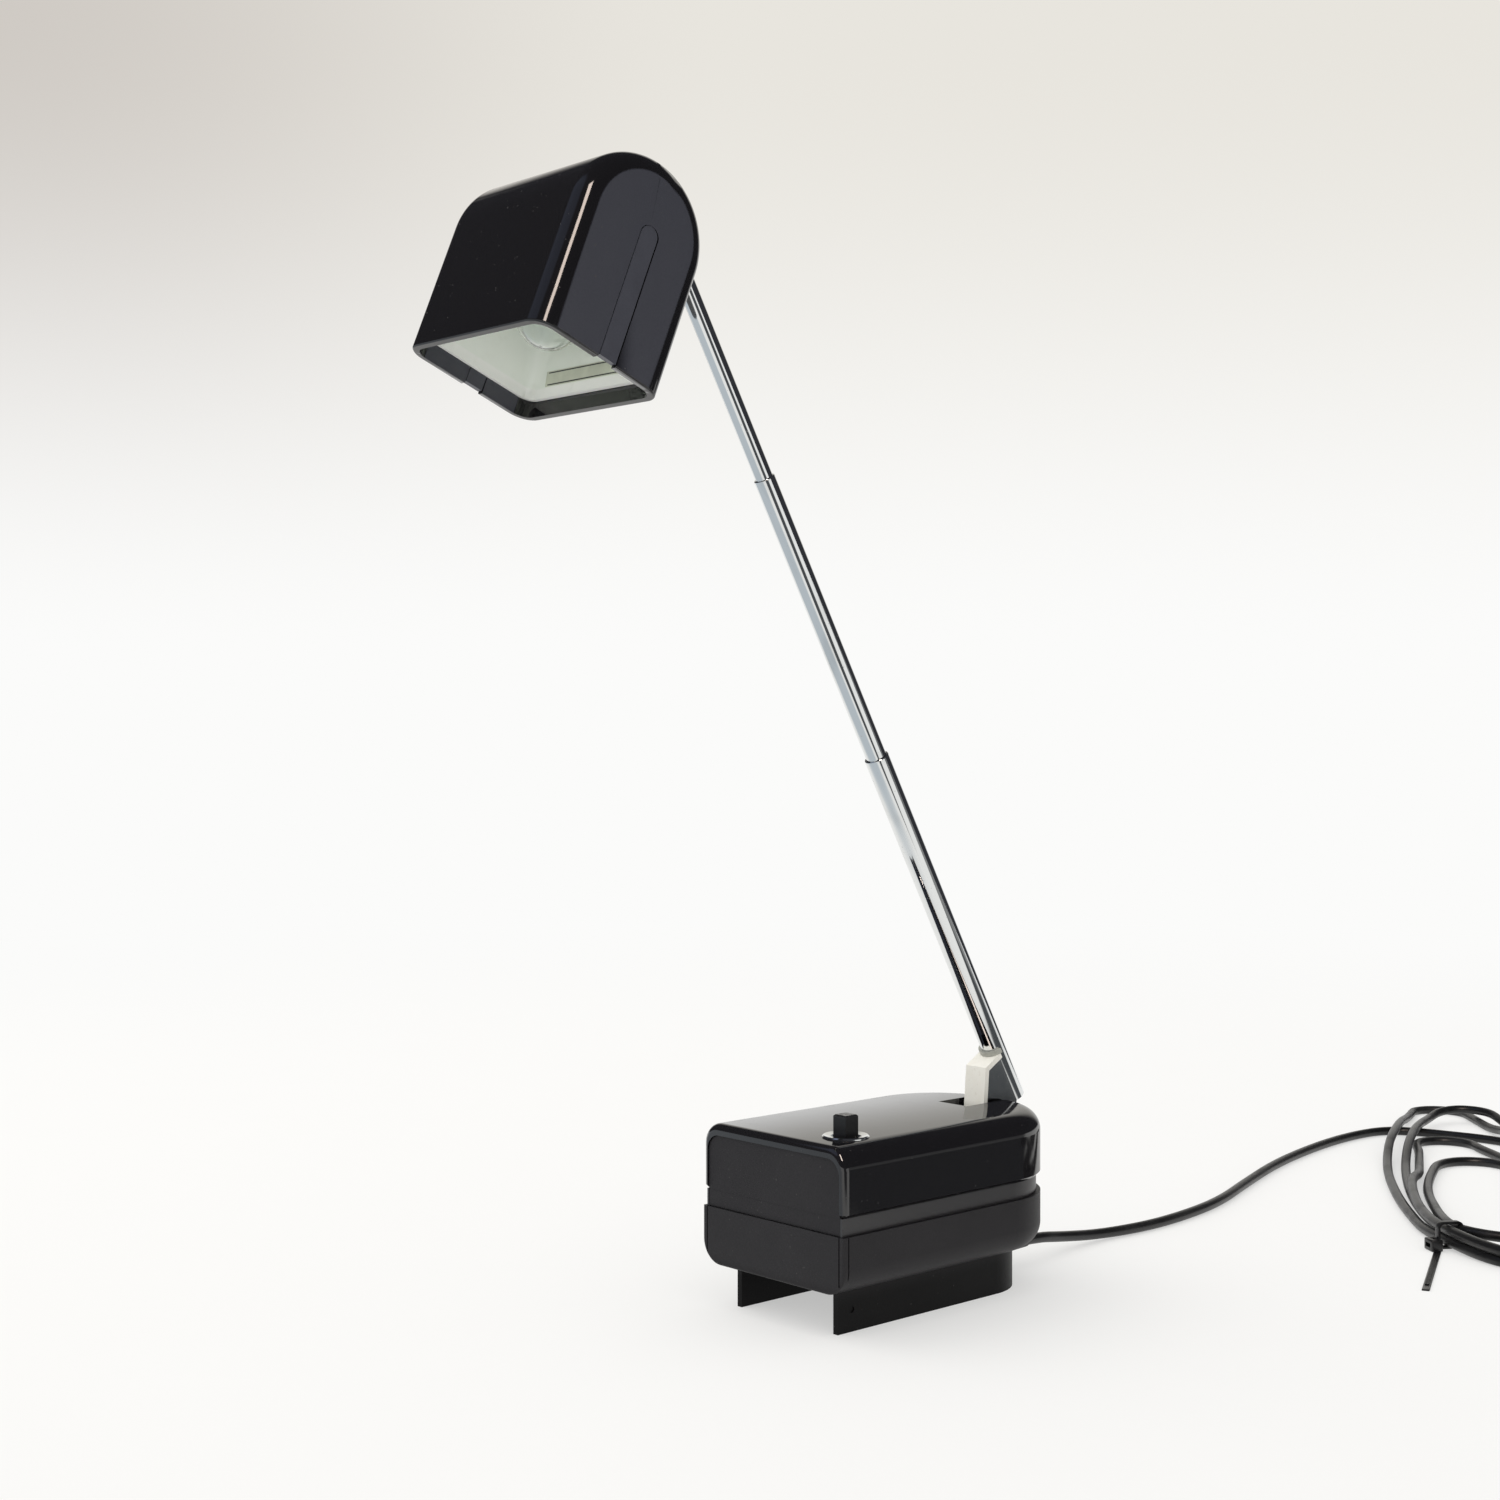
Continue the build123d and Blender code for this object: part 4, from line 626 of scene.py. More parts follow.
FINISHES = {
    "upper_cover": moulded_cover,
    "front_panel": satin_shell,
    "lower_shell": satin_shell,
    "push_button": knob_plastic,
    "switch_housing": plain_plastic("switch_plastic", "26282b", "34373b", 0.45),
    "foot_hood": ivory_plastic,
    "lower_tube": chromed("lower_tube_chrome", ARM_LEAN),
    "middle_tube": chromed("middle_tube_chrome", ARM_LEAN),
    "upper_tube": chromed("upper_tube_chrome", ARM_LEAN),
    "switch_bezel": chromed("bezel_chrome", draw=1.0, roughness=0.09),
    "hinge_yoke": chromed("yoke_chrome", draw=12.0, tone="cfd1d1", roughness=0.14),
    "foot_bracket": chromed("foot_bracket_chrome", ARM_LEAN, 12.0, "d2d4d4", 0.1),
    "top_bracket": chromed("top_bracket_chrome", HEAD_PITCH, 10.0, "cfd1d1", 0.12),
    "foot_collar": plain_plastic("collar_plastic", "a3a49c", "bcbdb3", 0.4),
    "middle_guide_ring": plain_plastic("middle_ring_nylon", *RING_NYLON),
    "upper_guide_ring": plain_plastic("upper_ring_nylon", *RING_NYLON),
    "lower_plug": plain_plastic("lower_plug_nylon", *PLUG_NYLON),
    "middle_plug": plain_plastic("middle_plug_nylon", *PLUG_NYLON),
    "upper_plug": plain_plastic("upper_plug_nylon", *PLUG_NYLON),
    "transformer_bobbin": plain_plastic("bobbin_nylon", "cfc7ad", "e2dcc6", 0.5, 0.006, 0.15),
    "socket_insulator": plain_plastic("phenolic_board", "3a2418", "52321f", 0.55, 0.002),
    "base_screws": turned_steel("base_screw_zinc", *ZINC),
    "yoke_screws": turned_steel("yoke_screw_zinc", *ZINC),
    "transformer_screws": turned_steel("transformer_screw_zinc", *ZINC),
    "hinge_pin": turned_steel("hinge_pin_steel", *PIN_STEEL),
    "head_pin": turned_steel("head_pin_steel", *PIN_STEEL),
    "core_rod": turned_steel("core_rod_brass", *CORE_BRASS),
    "core_middle_tube": turned_steel("core_middle_brass", *CORE_BRASS),
    "core_upper_tube": turned_steel("core_upper_brass", *CORE_BRASS),
    "transformer_core": laminated_core,
    "primary_winding": wound_wire("primary_wire", 0.00032, "3b1408"),
    "secondary_winding": wound_wire("secondary_wire", 0.0009, "4a1c0c"),
    "lamp_socket": turned_steel(
        "socket_brass", "cdbd92", "7d6f4c", 0.26, 0.0005, (1, 1, 6), HEAD_PITCH
    ),
    "bulb_cap": turned_steel("cap_nickel", "c4c0b4", "837e70", 0.24, 0.0005, (1, 1, 4), HEAD_PITCH),
    "socket_contact": turned_steel("contact_brass", "d2b060", "856a34", 0.3),
    "plug_pins": turned_steel("plug_pin_brass", "d8c27c", "8d7438", 0.22, 0.0005),
    "bulb_filament": turned_steel("tungsten", "8b8c90", "4c4d50", 0.35, 0.0002),
    "bulb_glass": clear_glass,
    "cord_bushing": rubber("bushing_rubber", "1a1a1b", 0.05, 0.5),
    "plug_body": rubber("plug_vinyl", "18181a", 0.04, 0.36, 0.0006),
}


def give_finish(names):
    """Gives each named piece its own finish."""
    look = bpy.context.scene.lamp_finishes
    made = {}
    for name in names:
        make = FINISHES[name]
        if make not in made:
            made[make] = make(look)
        piece = nodes[name]
        for spot in piece.material_slots:
            spot.material = made[make]


# ---------------------------------------------------------------- modelling
def deselect():
    active = bpy.context.view_layer.objects.active
    if active is not None and active.mode != "OBJECT":
        bpy.ops.object.mode_set(mode="OBJECT")
    bpy.ops.object.select_all(action="DESELECT")


def placed(name, data):
    """A new object with the data, in the scene's collection."""
    made = bpy.data.objects.new(name, data)
    bpy.context.scene.collection.objects.link(made)
    return made


def only(piece):
    """Makes the piece the one that is selected and active."""
    deselect()
    piece.select_set(True)
    bpy.context.view_layer.objects.active = piece


def oriented(right, up, middle):
    """The matrix whose X runs along right, Z along up, and origin is at middle."""
    right, up = Vector(right).normalized(), Vector(up).normalized()
    turn = Matrix((right, up.cross(right), up)).transposed()
    return Matrix.Translation(Vector(middle)) @ turn.to_4x4()


def block(name, size, right, up, middle):
    """A block of the given size, as the start of a piece."""
    deselect()
    bpy.ops.mesh.primitive_cube_add(size=1)
    piece = bpy.context.object
    piece.name = name
    piece.scale = size
    bpy.ops.object.transform_apply(location=False, rotation=False, scale=True)
    piece.matrix_world = oriented(right, up, middle)
    return piece


def pick(piece, chosen, kind="faces"):
    """Goes to edit mode with only those faces, edges or verts selected that are chosen."""
    bpy.context.view_layer.objects.active = piece
    bpy.ops.object.mode_set(mode="EDIT")
    bpy.ops.mesh.select_mode(type={"faces": "FACE", "edges": "EDGE", "verts": "VERT"}[kind])
    bpy.ops.mesh.select_all(action="DESELECT")
    mesh = bmesh.from_edit_mesh(piece.data)
    for part in getattr(mesh, kind):
        if chosen(part):
            part.select_set(True)
    bmesh.update_edit_mesh(piece.data)


def bevel(piece, chosen, width, segments):
    """Rounds the chosen edges, or cuts them flat in one segment."""
    pick(piece, chosen, "edges")
    bpy.ops.mesh.bevel(offset=width, segments=segments, affect="EDGES")
    bpy.ops.object.mode_set(mode="OBJECT")


def recess(piece, chosen, margin, move):
    """Sinks the chosen faces inside a margin."""
    pick(piece, chosen)
    bpy.ops.mesh.inset(thickness=margin)
    bpy.ops.mesh.extrude_region_move(TRANSFORM_OT_translate={"value": move})
    bpy.ops.object.mode_set(mode="OBJECT")


def along(edge, axis):
    one, two = edge.verts
    run = (two.co - one.co).normalized()
    return abs(run[axis]) > 0.99


def settle(piece, angle=35):
    """Puts the piece's place in its mesh, with smooth rounds and outward faces."""
    only(piece)
    bpy.ops.object.transform_apply(location=True, rotation=True, scale=True)
    bpy.ops.object.mode_set(mode="EDIT")
    bpy.ops.mesh.select_all(action="SELECT")
    bpy.ops.mesh.remove_doubles(threshold=0.000002)
    bpy.ops.mesh.normals_make_consistent(inside=False)
    bpy.ops.object.mode_set(mode="OBJECT")
    bpy.ops.object.shade_smooth_by_angle(angle=math.radians(angle))
    return piece


def modifier(piece, kind, **settings):
    """Adds one modifier and applies it."""
    bpy.context.view_layer.objects.active = piece
    added = piece.modifiers.new(kind.title(), kind)
    for key, value in settings.items():
        setattr(added, key, value)
    bpy.ops.object.modifier_apply(modifier=added.name)


def join(pieces, name):
    deselect()
    for piece in pieces:
        piece.select_set(True)
    bpy.context.view_layer.objects.active = pieces[0]
    bpy.ops.object.join()
    pieces[0].name = name
    return pieces[0]


# ---------------------------------------------------------------- the head
# The frame's head: its lean, the middle of its mouth, its depth, its arch's centre above
# the mouth, walls and play beside the reflector, and its tongues' middle, half and top
CAST_PITCH = math.radians(20.8)
CAST_MOUTH = Vector((0, -139.791 * MM, 271.935 * MM))
CAST_DEPTH = 41.5 * MM
CAST_ARCH = 42.75 * MM
CAST_LIP = 4.6 * MM
CAST_TONGUE = (2.7 * MM, 3.15 * MM, 41.3 * MM)

PIN_PLAY = 0.12 * MM
SLOT_HALF = 3.6 * MM      # half the width of the slot for the arm's bracket,
SLOT_EDGE = 3.4 * MM      # which starts this far before and below the pin
FOLD_PLAY = 0.25 * MM
FOLD_ANGLE = math.radians(50.5)
TONGUE_SHARE = 0.95       # width of a tongue beside that of the frame's
RIM_MARGIN = 0.1 * MM      # points this near to a tongue's opening move with it
END_WALL = 2.5 * MM       # the tongues' rims lie within this much of the end faces


def head_matrix(pitch, mouth):
    """From the head's own place (across, back, up) to the lamp's."""
    up = Vector((0, math.sin(pitch), math.cos(pitch)))
    turn = Matrix(((1, 0, 0), (0, up.z, -up.y), up)).transposed()
    return Matrix.Translation(mouth) @ turn.to_4x4()


def copy_to_head(node, name):
    """A joined-up copy of a head node, in the head's own place."""
    piece = placed(name, nodes[node].data.copy())
    piece.data.transform(head_matrix(CAST_PITCH, CAST_MOUTH).inverted())
    only(piece)
    pick(piece, lambda point: True, "verts")
    bpy.ops.mesh.remove_doubles(threshold=0.000001)
    bpy.ops.object.mode_set(mode="OBJECT")
    return piece


def reshape(piece, chosen, scale=(1, 1, 1), about=(0, 0, 0), shift=(0, 0, 0)):
    """Scales the chosen points about a place, and then shifts them."""
    pick(piece, lambda point: chosen(point.co), "verts")
    bpy.ops.transform.resize(value=scale, center_override=about)
    bpy.ops.transform.translate(value=shift)
    bpy.ops.object.mode_set(mode="OBJECT")


def set_in_head(piece, node, material):
    """Turns the piece to the head's lean, and lets it stand for its node."""
    form = bpy.context.scene.head_form
    piece.data.transform(head_matrix(form.pitch, Vector(form.mouth)))
    piece.data.materials.clear()
    piece.data.materials.append(material)
    for face in piece.data.polygons:
        face.material_index = 0
    only(piece)
    bpy.ops.object.shade_smooth_by_angle(angle=math.radians(24))
    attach(piece, "head")
    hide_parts(node)


def cut(piece, cutter):
    modifier(piece, "BOOLEAN", operation="DIFFERENCE", object=cutter, solver="EXACT")
    bpy.data.objects.remove(cutter)


def rod(radius, length, matrix):
    """A rod whose length runs along the matrix's Z."""
    deselect()
    bpy.ops.mesh.primitive_cylinder_add(vertices=64, radius=radius, depth=length)
    bpy.context.object.matrix_world = matrix
    return bpy.context.object


def clear_of_arm(shell):
    """Cuts the pin's hole, the bracket's slot and the relief for the folded arm."""
    up, back, mouth = head_axes()
    low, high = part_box("head_pin")
    pin = (low + high) / 2
    across = Matrix.Rotation(math.pi / 2, 4, "Y")
    hole = (high.z - low.z) / 2 + PIN_PLAY
    cut(shell, rod(hole, high.x - low.x + 2 * PIN_PLAY, Matrix.Translation(pin) @ across))
    reach = 20 * MM
    slot_middle = pin + (back + up) * (reach / 2 - SLOT_EDGE)
    cut(shell, block("slot_cutter", (2 * SLOT_HALF, reach, reach), (1, 0, 0), up, slot_middle))
    low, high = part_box("upper_tube")
    lean = Matrix.Rotation(ARM_LEAN[0], 4, "X")
    radius = (high.x - low.x) / 2 + FOLD_PLAY
    fold = Matrix.Translation(pin) @ Matrix.Rotation(-FOLD_ANGLE, 4, "X")
    folded = fold @ Matrix.Translation((low + high) / 2 - pin) @ lean
    cut(shell, rod(radius, 2 * (high - low).length, folded))


# ---------------------------------------------------------------- operators
class LAMP_OT_camera(bpy.types.Operator):
    """Places the camera in front of the lamp"""

    bl_idname = "lamp.camera"
    bl_label = "Camera"

    def execute(self, context):
        studio = context.scene.studio
        data = bpy.data.cameras.new("studio_camera")
        camera = placed("studio_camera", data)
        camera.location = studio.camera_place
        camera.rotation_euler = (math.pi / 2, 0, studio.camera_turn)
        data.sensor_width = 36
        data.lens = studio.camera_lens
        data.shift_y = studio.camera_shift
        data.clip_start, data.clip_end = 0.02, 60
        context.scene.camera = camera
        return {"FINISHED"}


class LAMP_OT_mains_lead(bpy.types.Operator):
    """Lays the mains lead along its route, with its hank and its plug"""

    bl_idname = "lamp.mains_lead"
    bl_label = "Mains lead"

    def execute(self, context):
        lead = context.scene.mains_lead
        line = bpy.data.curves.new("mains_lead", "CURVE")
        line.dimensions = "3D"
        line.resolution_u = lead.turn_smoothness
        line.bevel_depth = lead.diameter / 2
        line.bevel_resolution = 4
        run = line.splines.new("NURBS")
        run.points.add(len(LEAD_ROUTE) - 1)
        for point, place in zip(run.points, LEAD_ROUTE):
            x, y, z = (*place, ON_FLOOR)[:3]
            point.co = (x * MM, y * MM, z * MM, 1)
        run.order_u = 3
        run.use_endpoint_u = True
        piece = placed("mains_lead", line)
        material = rubber("lead_sheath", None, 0.05, 0.36)(context.scene.lamp_finishes)
        line.materials.append(material)
        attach(piece, "base")
        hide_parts("mains_cord", "cord_coil")
        return {"FINISHED"}


class LAMP_OT_cable_tie(bpy.types.Operator):
    """Models the cable tie: strap, ratchet head and toothed tail"""

    bl_idname = "lamp.cable_tie"
    bl_label = "Cable tie"

    def execute(self, context):
        tie = context.scene.cable_tie
        place, across = Vector(tie.place), Vector(tie.across).normalized()
        up = Vector((0, 0, 1))
        strands = across.cross(up)
        # Strap: a rounded sleeve round the strands, with its open ends removed
        middle = place + up * tie.bundle_height / 2
        size = (tie.bundle_width, tie.strap_width, tie.bundle_height)
        strap = block("strap", size, across, up, middle)
        bevel(strap, lambda edge: along(edge, 1), 2.1 * MM, 6)
        pick(strap, lambda face: abs(face.normal.y) > 0.9)
        bpy.ops.mesh.delete(type="FACE")
        bpy.ops.object.mode_set(mode="OBJECT")
        modifier(strap, "SOLIDIFY", thickness=tie.strap_sheet, offset=-1)
        modifier(strap, "BEVEL", width=0.18 * MM, segments=2, limit_method="ANGLE")
        # Ratchet head beside the strands, with the slot that takes the tail
        trim = 0.3 * MM    # taken off the head's depth
        head_middle = (
            place - across * (tie.bundle_width + tie.head_across - trim) / 2
            - strands * -1.9 * MM + up * tie.head_height / 2
        )
        size = (tie.head_across - trim, tie.head_along, tie.head_height)
        head = block("ratchet_head", size, across, up, head_middle)
        bevel(head, lambda edge: True, 0.55 * MM, 3)
        flat = 6 * MM * MM    # a whole side of the head is larger than this
        recess(
            head, lambda face: face.normal.x < -0.99 and face.calc_area() > flat,
            0.75 * MM, across * 1.6 * MM,
        )
        recess(
            head, lambda face: face.normal.z > 0.99 and face.calc_area() > flat,
            0.9 * MM, up * -0.5 * MM,
        )
        # Tail: a flat strip on the floor, one tooth every pitch and a cut-off tip
        heading = Vector(tie.tail_heading).normalized()
        start = place + strands * 5 * MM - across * (tie.bundle_width + tie.head_across) / 2
        rails = 0.55 * MM
        size = (tie.tail_length, tie.strap_width, rails)
        tail_middle = start + heading * tie.tail_length / 2 + up * rails / 2
        tail = block("tail", size, heading, up, tail_middle)
        bevel(tail, lambda edge: along(edge, 0), 0.15 * MM, 2)
        tooth_size = (tie.tooth_pitch * 0.8, tie.strap_width * 0.58, 0.6 * MM)
        first = start + heading * 3 * MM + up * (rails + 0.1 * MM)
        tooth = block("tooth", tooth_size, heading, up, first)

        def leading(edge):
            place = edge.verts[0].co
            return along(edge, 1) and place.z > 0 and place.x < 0

        bevel(tooth, leading, 0.34 * MM, 1)
        count = int((tie.tail_length - 7 * MM) / tie.tooth_pitch)
        modifier(
            tooth, "ARRAY", count=count, use_relative_offset=False, use_constant_offset=True,
            constant_offset_displace=(tie.tooth_pitch, 0, 0),
        )
        piece = join([strap, head, tail, tooth], "cable_tie")
        settle(piece)
        piece.data.materials.clear()
        piece.data.materials.append(
            plain_plastic("tie_nylon", "131314", "202022", 0.34, 0.003)(context.scene.lamp_finishes)
        )
        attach(piece, "base")
        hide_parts("cord_tie")
        start = tuple(c * MM for c in LEAD_ROUTE[0])
        return {"FINISHED"}


class LAMP_OT_bare_label(bpy.types.Operator):
    """Lays the bare label on the reflector's rear wall"""

    bl_idname = "lamp.bare_label"
    bl_label = "Bare label"

    def execute(self, context):
        label = context.scene.bare_label
        up, back, mouth = head_axes()
        wall_up = (up - back * 0.2).normalized()
        inward = Vector((1, 0, 0)).cross(wall_up)
        middle = mouth + up * label.rise + back * label.setting_back
        deselect()
        bpy.ops.mesh.primitive_grid_add(x_subdivisions=24, y_subdivisions=6, size=1)
        piece = context.object
        piece.name = "bare_label"
        piece.scale = (label.width, label.height, 1)
        bpy.ops.object.transform_apply(location=False, rotation=False, scale=True)
        piece.matrix_world = oriented((1, 0, 0), inward, middle)
        pick(piece, lambda edge: False, "edges")
        bpy.ops.mesh.select_all(action="SELECT")
        bpy.ops.object.mode_set(mode="OBJECT")
        modifier(
            piece, "SHRINKWRAP", target=bpy.data.objects["lamp_reflector"],
            wrap_method="NEAREST_SURFACEPOINT", offset=0.03 * MM,
        )
        modifier(piece, "SOLIDIFY", thickness=label.sheet, offset=1)
        settle(piece)
        piece.data.materials.append(bare_label(context.scene.lamp_finishes))
        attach(piece, "head")
        return {"FINISHED"}


def finish_operator(idname, label, doc, names):
    """An operator that gives a group of like pieces their finishes."""

    def execute(self, context):
        give_finish(names)
        return {"FINISHED"}

    kind = "LAMP_OT_" + idname
    members = {"__doc__": doc, "bl_idname": "lamp." + idname, "bl_label": label, "execute": execute}
    return type(kind, (bpy.types.Operator,), members)


LAMP_OT_base_housing = finish_operator(
    "base_housing", "Base housing", "Finishes the cover, the lower shell and the front panel",
    ("upper_cover", "lower_shell", "front_panel", "base_screws", "cord_bushing"),
)
LAMP_OT_switch = finish_operator(
    "switch", "Switch", "Finishes the push button, its bezel and its housing",
    ("push_button", "switch_bezel", "switch_housing"),
)
LAMP_OT_transformer = finish_operator(
    "transformer", "Transformer", "Finishes the core, the windings, the bobbin and the screws",
    ("transformer_core", "transformer_bobbin", "primary_winding", "secondary_winding",
     "transformer_screws"),
)
LAMP_OT_arm_foot = finish_operator(
    "arm_foot", "Arm foot", "Finishes the hinge and the foot of the arm",
    ("hinge_yoke", "yoke_screws", "hinge_pin", "foot_bracket", "foot_hood"),
)
SADDLE_START = 0.12       # of the collar's width, in front of its middle


class LAMP_OT_foot_saddle(bpy.types.Operator):
    """Cuts the collar at the arm's foot down to the saddle on its hood"""

    bl_idname = "lamp.foot_saddle"
    bl_label = "Foot saddle"

    def execute(self, context):
        piece = placed("foot_saddle", nodes["foot_collar"].data.copy())
        settle(piece)
        low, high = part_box("foot_collar")
        up = Vector((0, -math.sin(ARM_LEAN[0]), math.cos(ARM_LEAN[0])))
        front = Vector((0, -up.z, up.y))
        size = high.x - low.x
        middle = (low + high) / 2 + front * (size + size * SADDLE_START)
        cutter = block("saddle_cutter", (2 * size,) * 3, (1, 0, 0), up, middle)
        modifier(piece, "BOOLEAN", operation="INTERSECT", object=cutter, solver="EXACT")
        bpy.data.objects.remove(cutter)
        settle(piece)
        piece.data.materials.clear()
        piece.data.materials.append(FINISHES["foot_collar"](context.scene.lamp_finishes))
        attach(piece, "lower_arm")
        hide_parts("foot_collar")
        return {"FINISHED"}


LAMP_OT_arm_tubes = finish_operator(
    "arm_tubes", "Arm tubes", "Finishes the telescopic tubes and what is inside them",
    ("lower_tube", "middle_tube", "upper_tube", "middle_guide_ring", "upper_guide_ring",
     "lower_plug", "middle_plug", "upper_plug", "core_rod", "core_middle_tube",
     "core_upper_tube", "top_bracket", "head_pin"),
)


class LAMP_OT_lamp_head(bpy.types.Operator):
    """Shapes the head, its tongues and its reflector to their true proportions"""

    bl_idname = "lamp.lamp_head"
    bl_label = "Lamp head"

    def execute(self, context):
        form = context.scene.head_form
        look = context.scene.lamp_finishes
        low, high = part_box("head_shell")
        cast_width = high.x - low.x
        wide, deep = form.width / cast_width, form.depth / CAST_DEPTH
        middle, half, top = CAST_TONGUE
        everything = lambda place: True

        shell = copy_to_head("head_shell", "lamp_head")
        reshape(shell, everything, (wide, deep, 1))
        reshape(shell, lambda place: place.z < CAST_ARCH, (1, 1, form.arch / CAST_ARCH))
        reshape(
            shell, lambda place: place.z > CAST_ARCH - 0.01 * MM, (1, 1, deep),
            (0, 0, CAST_ARCH), (0, 0, form.arch - CAST_ARCH),
        )
        end_wall = form.width / 2 - END_WALL
        opening = (half + RIM_MARGIN) * deep

        def rim(place):
            return abs(place.x) > end_wall and abs(place.y - middle * deep) < opening

        reshape(
            shell, rim, (1, 1 / deep, 1), (0, middle * deep, 0),
            (0, form.tongue_middle - middle * deep, 0),
        )
        low_top = top * form.arch / CAST_ARCH
        reshape(
            shell,
            lambda place: abs(place.x) > end_wall
            and abs(place.y - form.tongue_middle) < half + RIM_MARGIN
            and low_top - 2 * half < place.z < low_top + 0.5 * MM,
            shift=(0, 0, form.tongue_top - low_top),
        )
        set_in_head(shell, "head_shell", moulded_head(look))
        clear_of_arm(shell)

        tongues = copy_to_head("side_tongues", "lamp_head_tongues")
        reshape(
            tongues, everything, (1, TONGUE_SHARE, 1), (0, middle, 0),
            (0, form.tongue_middle - middle, 0),
        )
        for side in (-1, 1):
            outward = side * (form.width - cast_width) / 2
            reshape(tongues, lambda place: place.x * side > 0, shift=(outward, 0, 0))
        reshape(
            tongues, lambda place: place.z > top - 2 * half, shift=(0, 0, form.tongue_top - top)
        )
        set_in_head(tongues, "side_tongues", grained_tongue(look))

        reflector = copy_to_head("reflector", "lamp_reflector")
        across = (form.width - CAST_LIP) / (cast_width - CAST_LIP)
        through = (form.depth - CAST_LIP) / (CAST_DEPTH - CAST_LIP)
        reshape(reflector, everything, (across, through, 1))
        set_in_head(reflector, "reflector", enamelled_reflector(look))
        return {"FINISHED"}


LAMP_OT_bulb = finish_operator(
    "bulb", "Bulb", "Finishes the bulb and its holder",
    ("lamp_socket", "socket_insulator", "socket_contact", "bulb_cap", "bulb_glass",
     "bulb_filament"),
)
LAMP_OT_plug = finish_operator(
    "plug", "Plug", "Finishes the plug and its pins", ("plug_body", "plug_pins"),
)

# Where the parts of the room lie, and what glossy surfaces see of them and of the floor
TOWARDS_SWEEP = (-0.658, 0.727, 0.195)
TOWARDS_SKYLIGHT = (-0.25, -0.66, 0.708)
TOWARDS_FRONT = (-0.549, -0.798, 0.249)
TOWARDS_LEFT = (-0.6724, -0.7402, 0)
DARK_ROOM = (0.035, 0.036, 0.042)
SKYLIGHT = (0.24, 0.28, 0.40)
DARK_CARD = (0.075, 0.08, 0.085)
COOL_FLOOR = (0.55, 0.6, 0.64)


def room_world(studio):
    """The room: pale behind the lamp, dim on the left and on the camera's side."""
    world = bpy.data.worlds.new("studio_room")
    s = Shader(world)
    direction = s.generated
    height = s.part(direction, 2)
    left = s.dot(direction, TOWARDS_LEFT)
    above = s.blend(studio.backdrop_top, studio.backdrop_side, left.rise(0.0, 0.33))
    backdrop = s.blend(studio.backdrop, above, height.rise(0.03, 0.3))
    sweep = s.dot(direction, TOWARDS_SWEEP).rise(0.8, 0.95)
    seen = s.blend(DARK_ROOM, backdrop, sweep)
    cool = s.dot(direction, TOWARDS_SKYLIGHT).rise(0.88, 0.95)
    seen = s.blend(seen, SKYLIGHT, cool)
    camera, glossy, through = s.rays()
    plain = [studio.fill * c for c in (1.0, 0.995, 0.985)]
    front = s.dot(direction, TOWARDS_FRONT) * 0.5 + 0.5
    plain = s.blend([0.55 * c for c in plain], [1.45 * c for c in plain], front)
    colour = s.blend(plain, backdrop, camera.maths("MAXIMUM", through))
    colour = s.blend(colour, seen, glossy)
    shade = s.node("ShaderNodeBackground", None, {"Color": colour, "Strength": 1.0})
    s.node("ShaderNodeOutputWorld", None, {"Surface": shade})
    if hasattr(world, "cycles"):
        world.cycles.sampling_method = "NONE"
    return world


def floor_material(studio):
    """Pale floor that keeps the lamp's shadow and runs out into the backdrop."""
    material, s = new_material("studio_floor")
    cloud = s.noise(0.05, detail=3)
    colour = s.blend(studio.floor_colour, [0.97 * c for c in studio.floor_colour], cloud * 0.5)
    lit = s.node("ShaderNodeBsdfDiffuse", None, {"Color": colour})
    away = s.node("ShaderNodeVectorMath", {"operation": "LENGTH"}, {0: s.place}, out=1)
    camera, glossy, through = s.rays()
    right = s.part(s.place, 0)
    rear = s.part(s.place, 1)
    # For glossy rays: a dark sector right of the base, a dark wedge nearer the front, and
    # a cool patch in front
    card = right.rise(0.08, 0.12) * (rear - right * 0.6).rise(-0.045, -0.02)
    card = card * (1 - (rear / right).rise(1.4, 1.9)) * (1 - away.rise(0.45, 0.6, 0.0, 0.12))
    streak = 1 - (rear / right + 0.42).size().rise(0.28, 0.38)
    card = card.maths("MAXIMUM", streak * right.rise(0.2, 0.24)) * glossy
    shaded = (rear * -1).rise(0.02, 0.14) * (1 - right.rise(0.1, 0.2)) * glossy
    shown = s.blend(studio.backdrop, COOL_FLOOR, shaded)
    shown = s.blend(shown, DARK_CARD, card)
    glow = s.node("ShaderNodeEmission", None, {"Color": shown, "Strength": 1.0})
    share = (camera.maths("MAXIMUM", glossy)).maths("MAXIMUM", through)
    share = share * away.rise(0.3, 1.3, 0.5).maths("MAXIMUM", card.maths("MAXIMUM", shaded))
    mixed = s.node("ShaderNodeMixShader", None, {0: share, 1: lit, 2: glow})
    s.node("ShaderNodeOutputMaterial", None, {"Surface": mixed})
    return material


def soft_light(name, place, target, width, height, power, colour):
    data = bpy.data.lights.new(name, "AREA")
    data.shape = "RECTANGLE"
    data.size, data.size_y = width, height
    data.energy = power
    data.color = colour
    light = placed(name, data)
    light.location = place
    light.rotation_euler = (Vector(target) - Vector(place)).to_track_quat("-Z", "Y").to_euler()
    return light


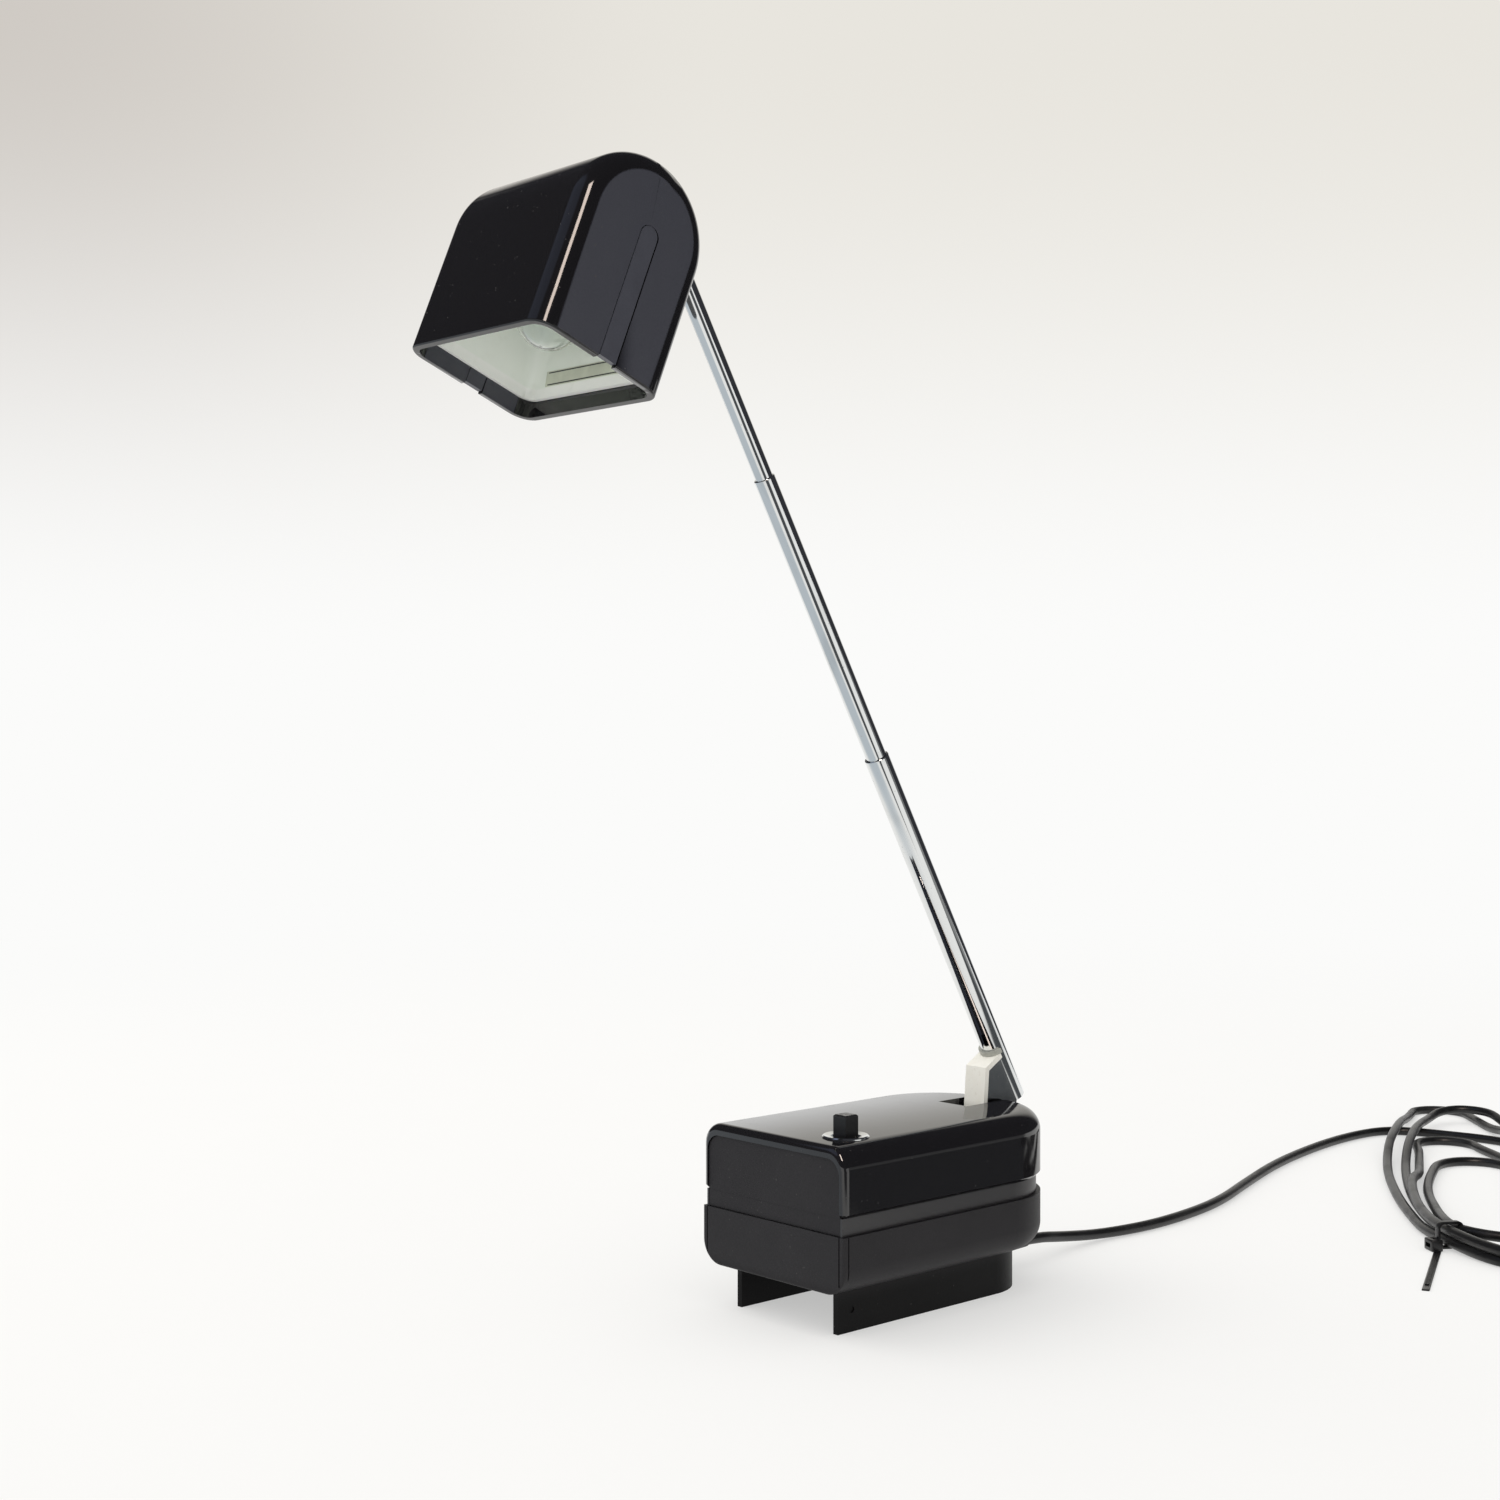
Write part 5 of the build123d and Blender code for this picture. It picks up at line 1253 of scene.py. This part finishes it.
class LAMP_OT_stage(bpy.types.Operator):
    """Lays the pale floor and sets the soft lights"""

    bl_idname = "lamp.stage"
    bl_label = "Stage"

    def execute(self, context):
        studio = context.scene.studio
        deselect()
        bpy.ops.mesh.primitive_grid_add(
            x_subdivisions=12, y_subdivisions=12, size=2 * studio.floor_reach
        )
        floor = context.object
        floor.name = "studio_floor"
        floor.data.materials.append(floor_material(studio))
        context.scene.world = room_world(studio)
        middle = (0, 0, 0.1)
        overhead = soft_light(
            "overhead_light", (-0.75, -0.35, 1.25), middle, 1.1, 1.1, studio.key_power,
            (1.0, 0.985, 0.96),
        )
        strip = soft_light(
            "warm_window", (0.98, -0.82, 1.25), (0.03, -0.16, 0.3), 0.3, 0.9, studio.strip_power,
            (1.0, 0.84, 0.74),
        )
        strip.visible_diffuse = False
        overhead.visible_glossy = False
        context.scene.view_settings.view_transform = "Standard"
        return {"FINISHED"}


class LAMP_PT_panel(bpy.types.Panel):
    """Sidebar panel of the folding desk lamp"""

    bl_idname = "LAMP_PT_panel"
    bl_label = "Desk lamp"
    bl_space_type = "VIEW_3D"
    bl_region_type = "UI"
    bl_category = "Desk lamp"

    def draw(self, context):
        layout = self.layout
        for operator in OPERATORS:
            layout.operator(operator.bl_idname)
        for group, kind in SETTINGS.items():
            box = layout.box()
            box.label(text=kind.__doc__)
            for name in kind.__annotations__:
                box.prop(getattr(context.scene, group), name)


OPERATORS = (
    LAMP_OT_camera, LAMP_OT_mains_lead, LAMP_OT_cable_tie, LAMP_OT_plug, LAMP_OT_base_housing,
    LAMP_OT_switch, LAMP_OT_transformer, LAMP_OT_arm_foot, LAMP_OT_foot_saddle,
    LAMP_OT_arm_tubes, LAMP_OT_lamp_head, LAMP_OT_bulb, LAMP_OT_bare_label, LAMP_OT_stage,
)


def register():
    for kind in (*SETTINGS.values(), *OPERATORS, LAMP_PT_panel):
        bpy.utils.register_class(kind)
    for name, kind in SETTINGS.items():
        setattr(bpy.types.Scene, name, PointerProperty(type=kind))


def unregister():
    for name in SETTINGS:
        delattr(bpy.types.Scene, name)
    for kind in reversed((*SETTINGS.values(), *OPERATORS, LAMP_PT_panel)):
        bpy.utils.unregister_class(kind)


def main():
    register()
    for operator in OPERATORS:
        call = getattr(bpy.ops.lamp, operator.bl_idname.split(".")[1])
        if call() != {"FINISHED"}:
            raise RuntimeError(operator.bl_label + " didn't finish")


if __name__ == "__main__":
    main()
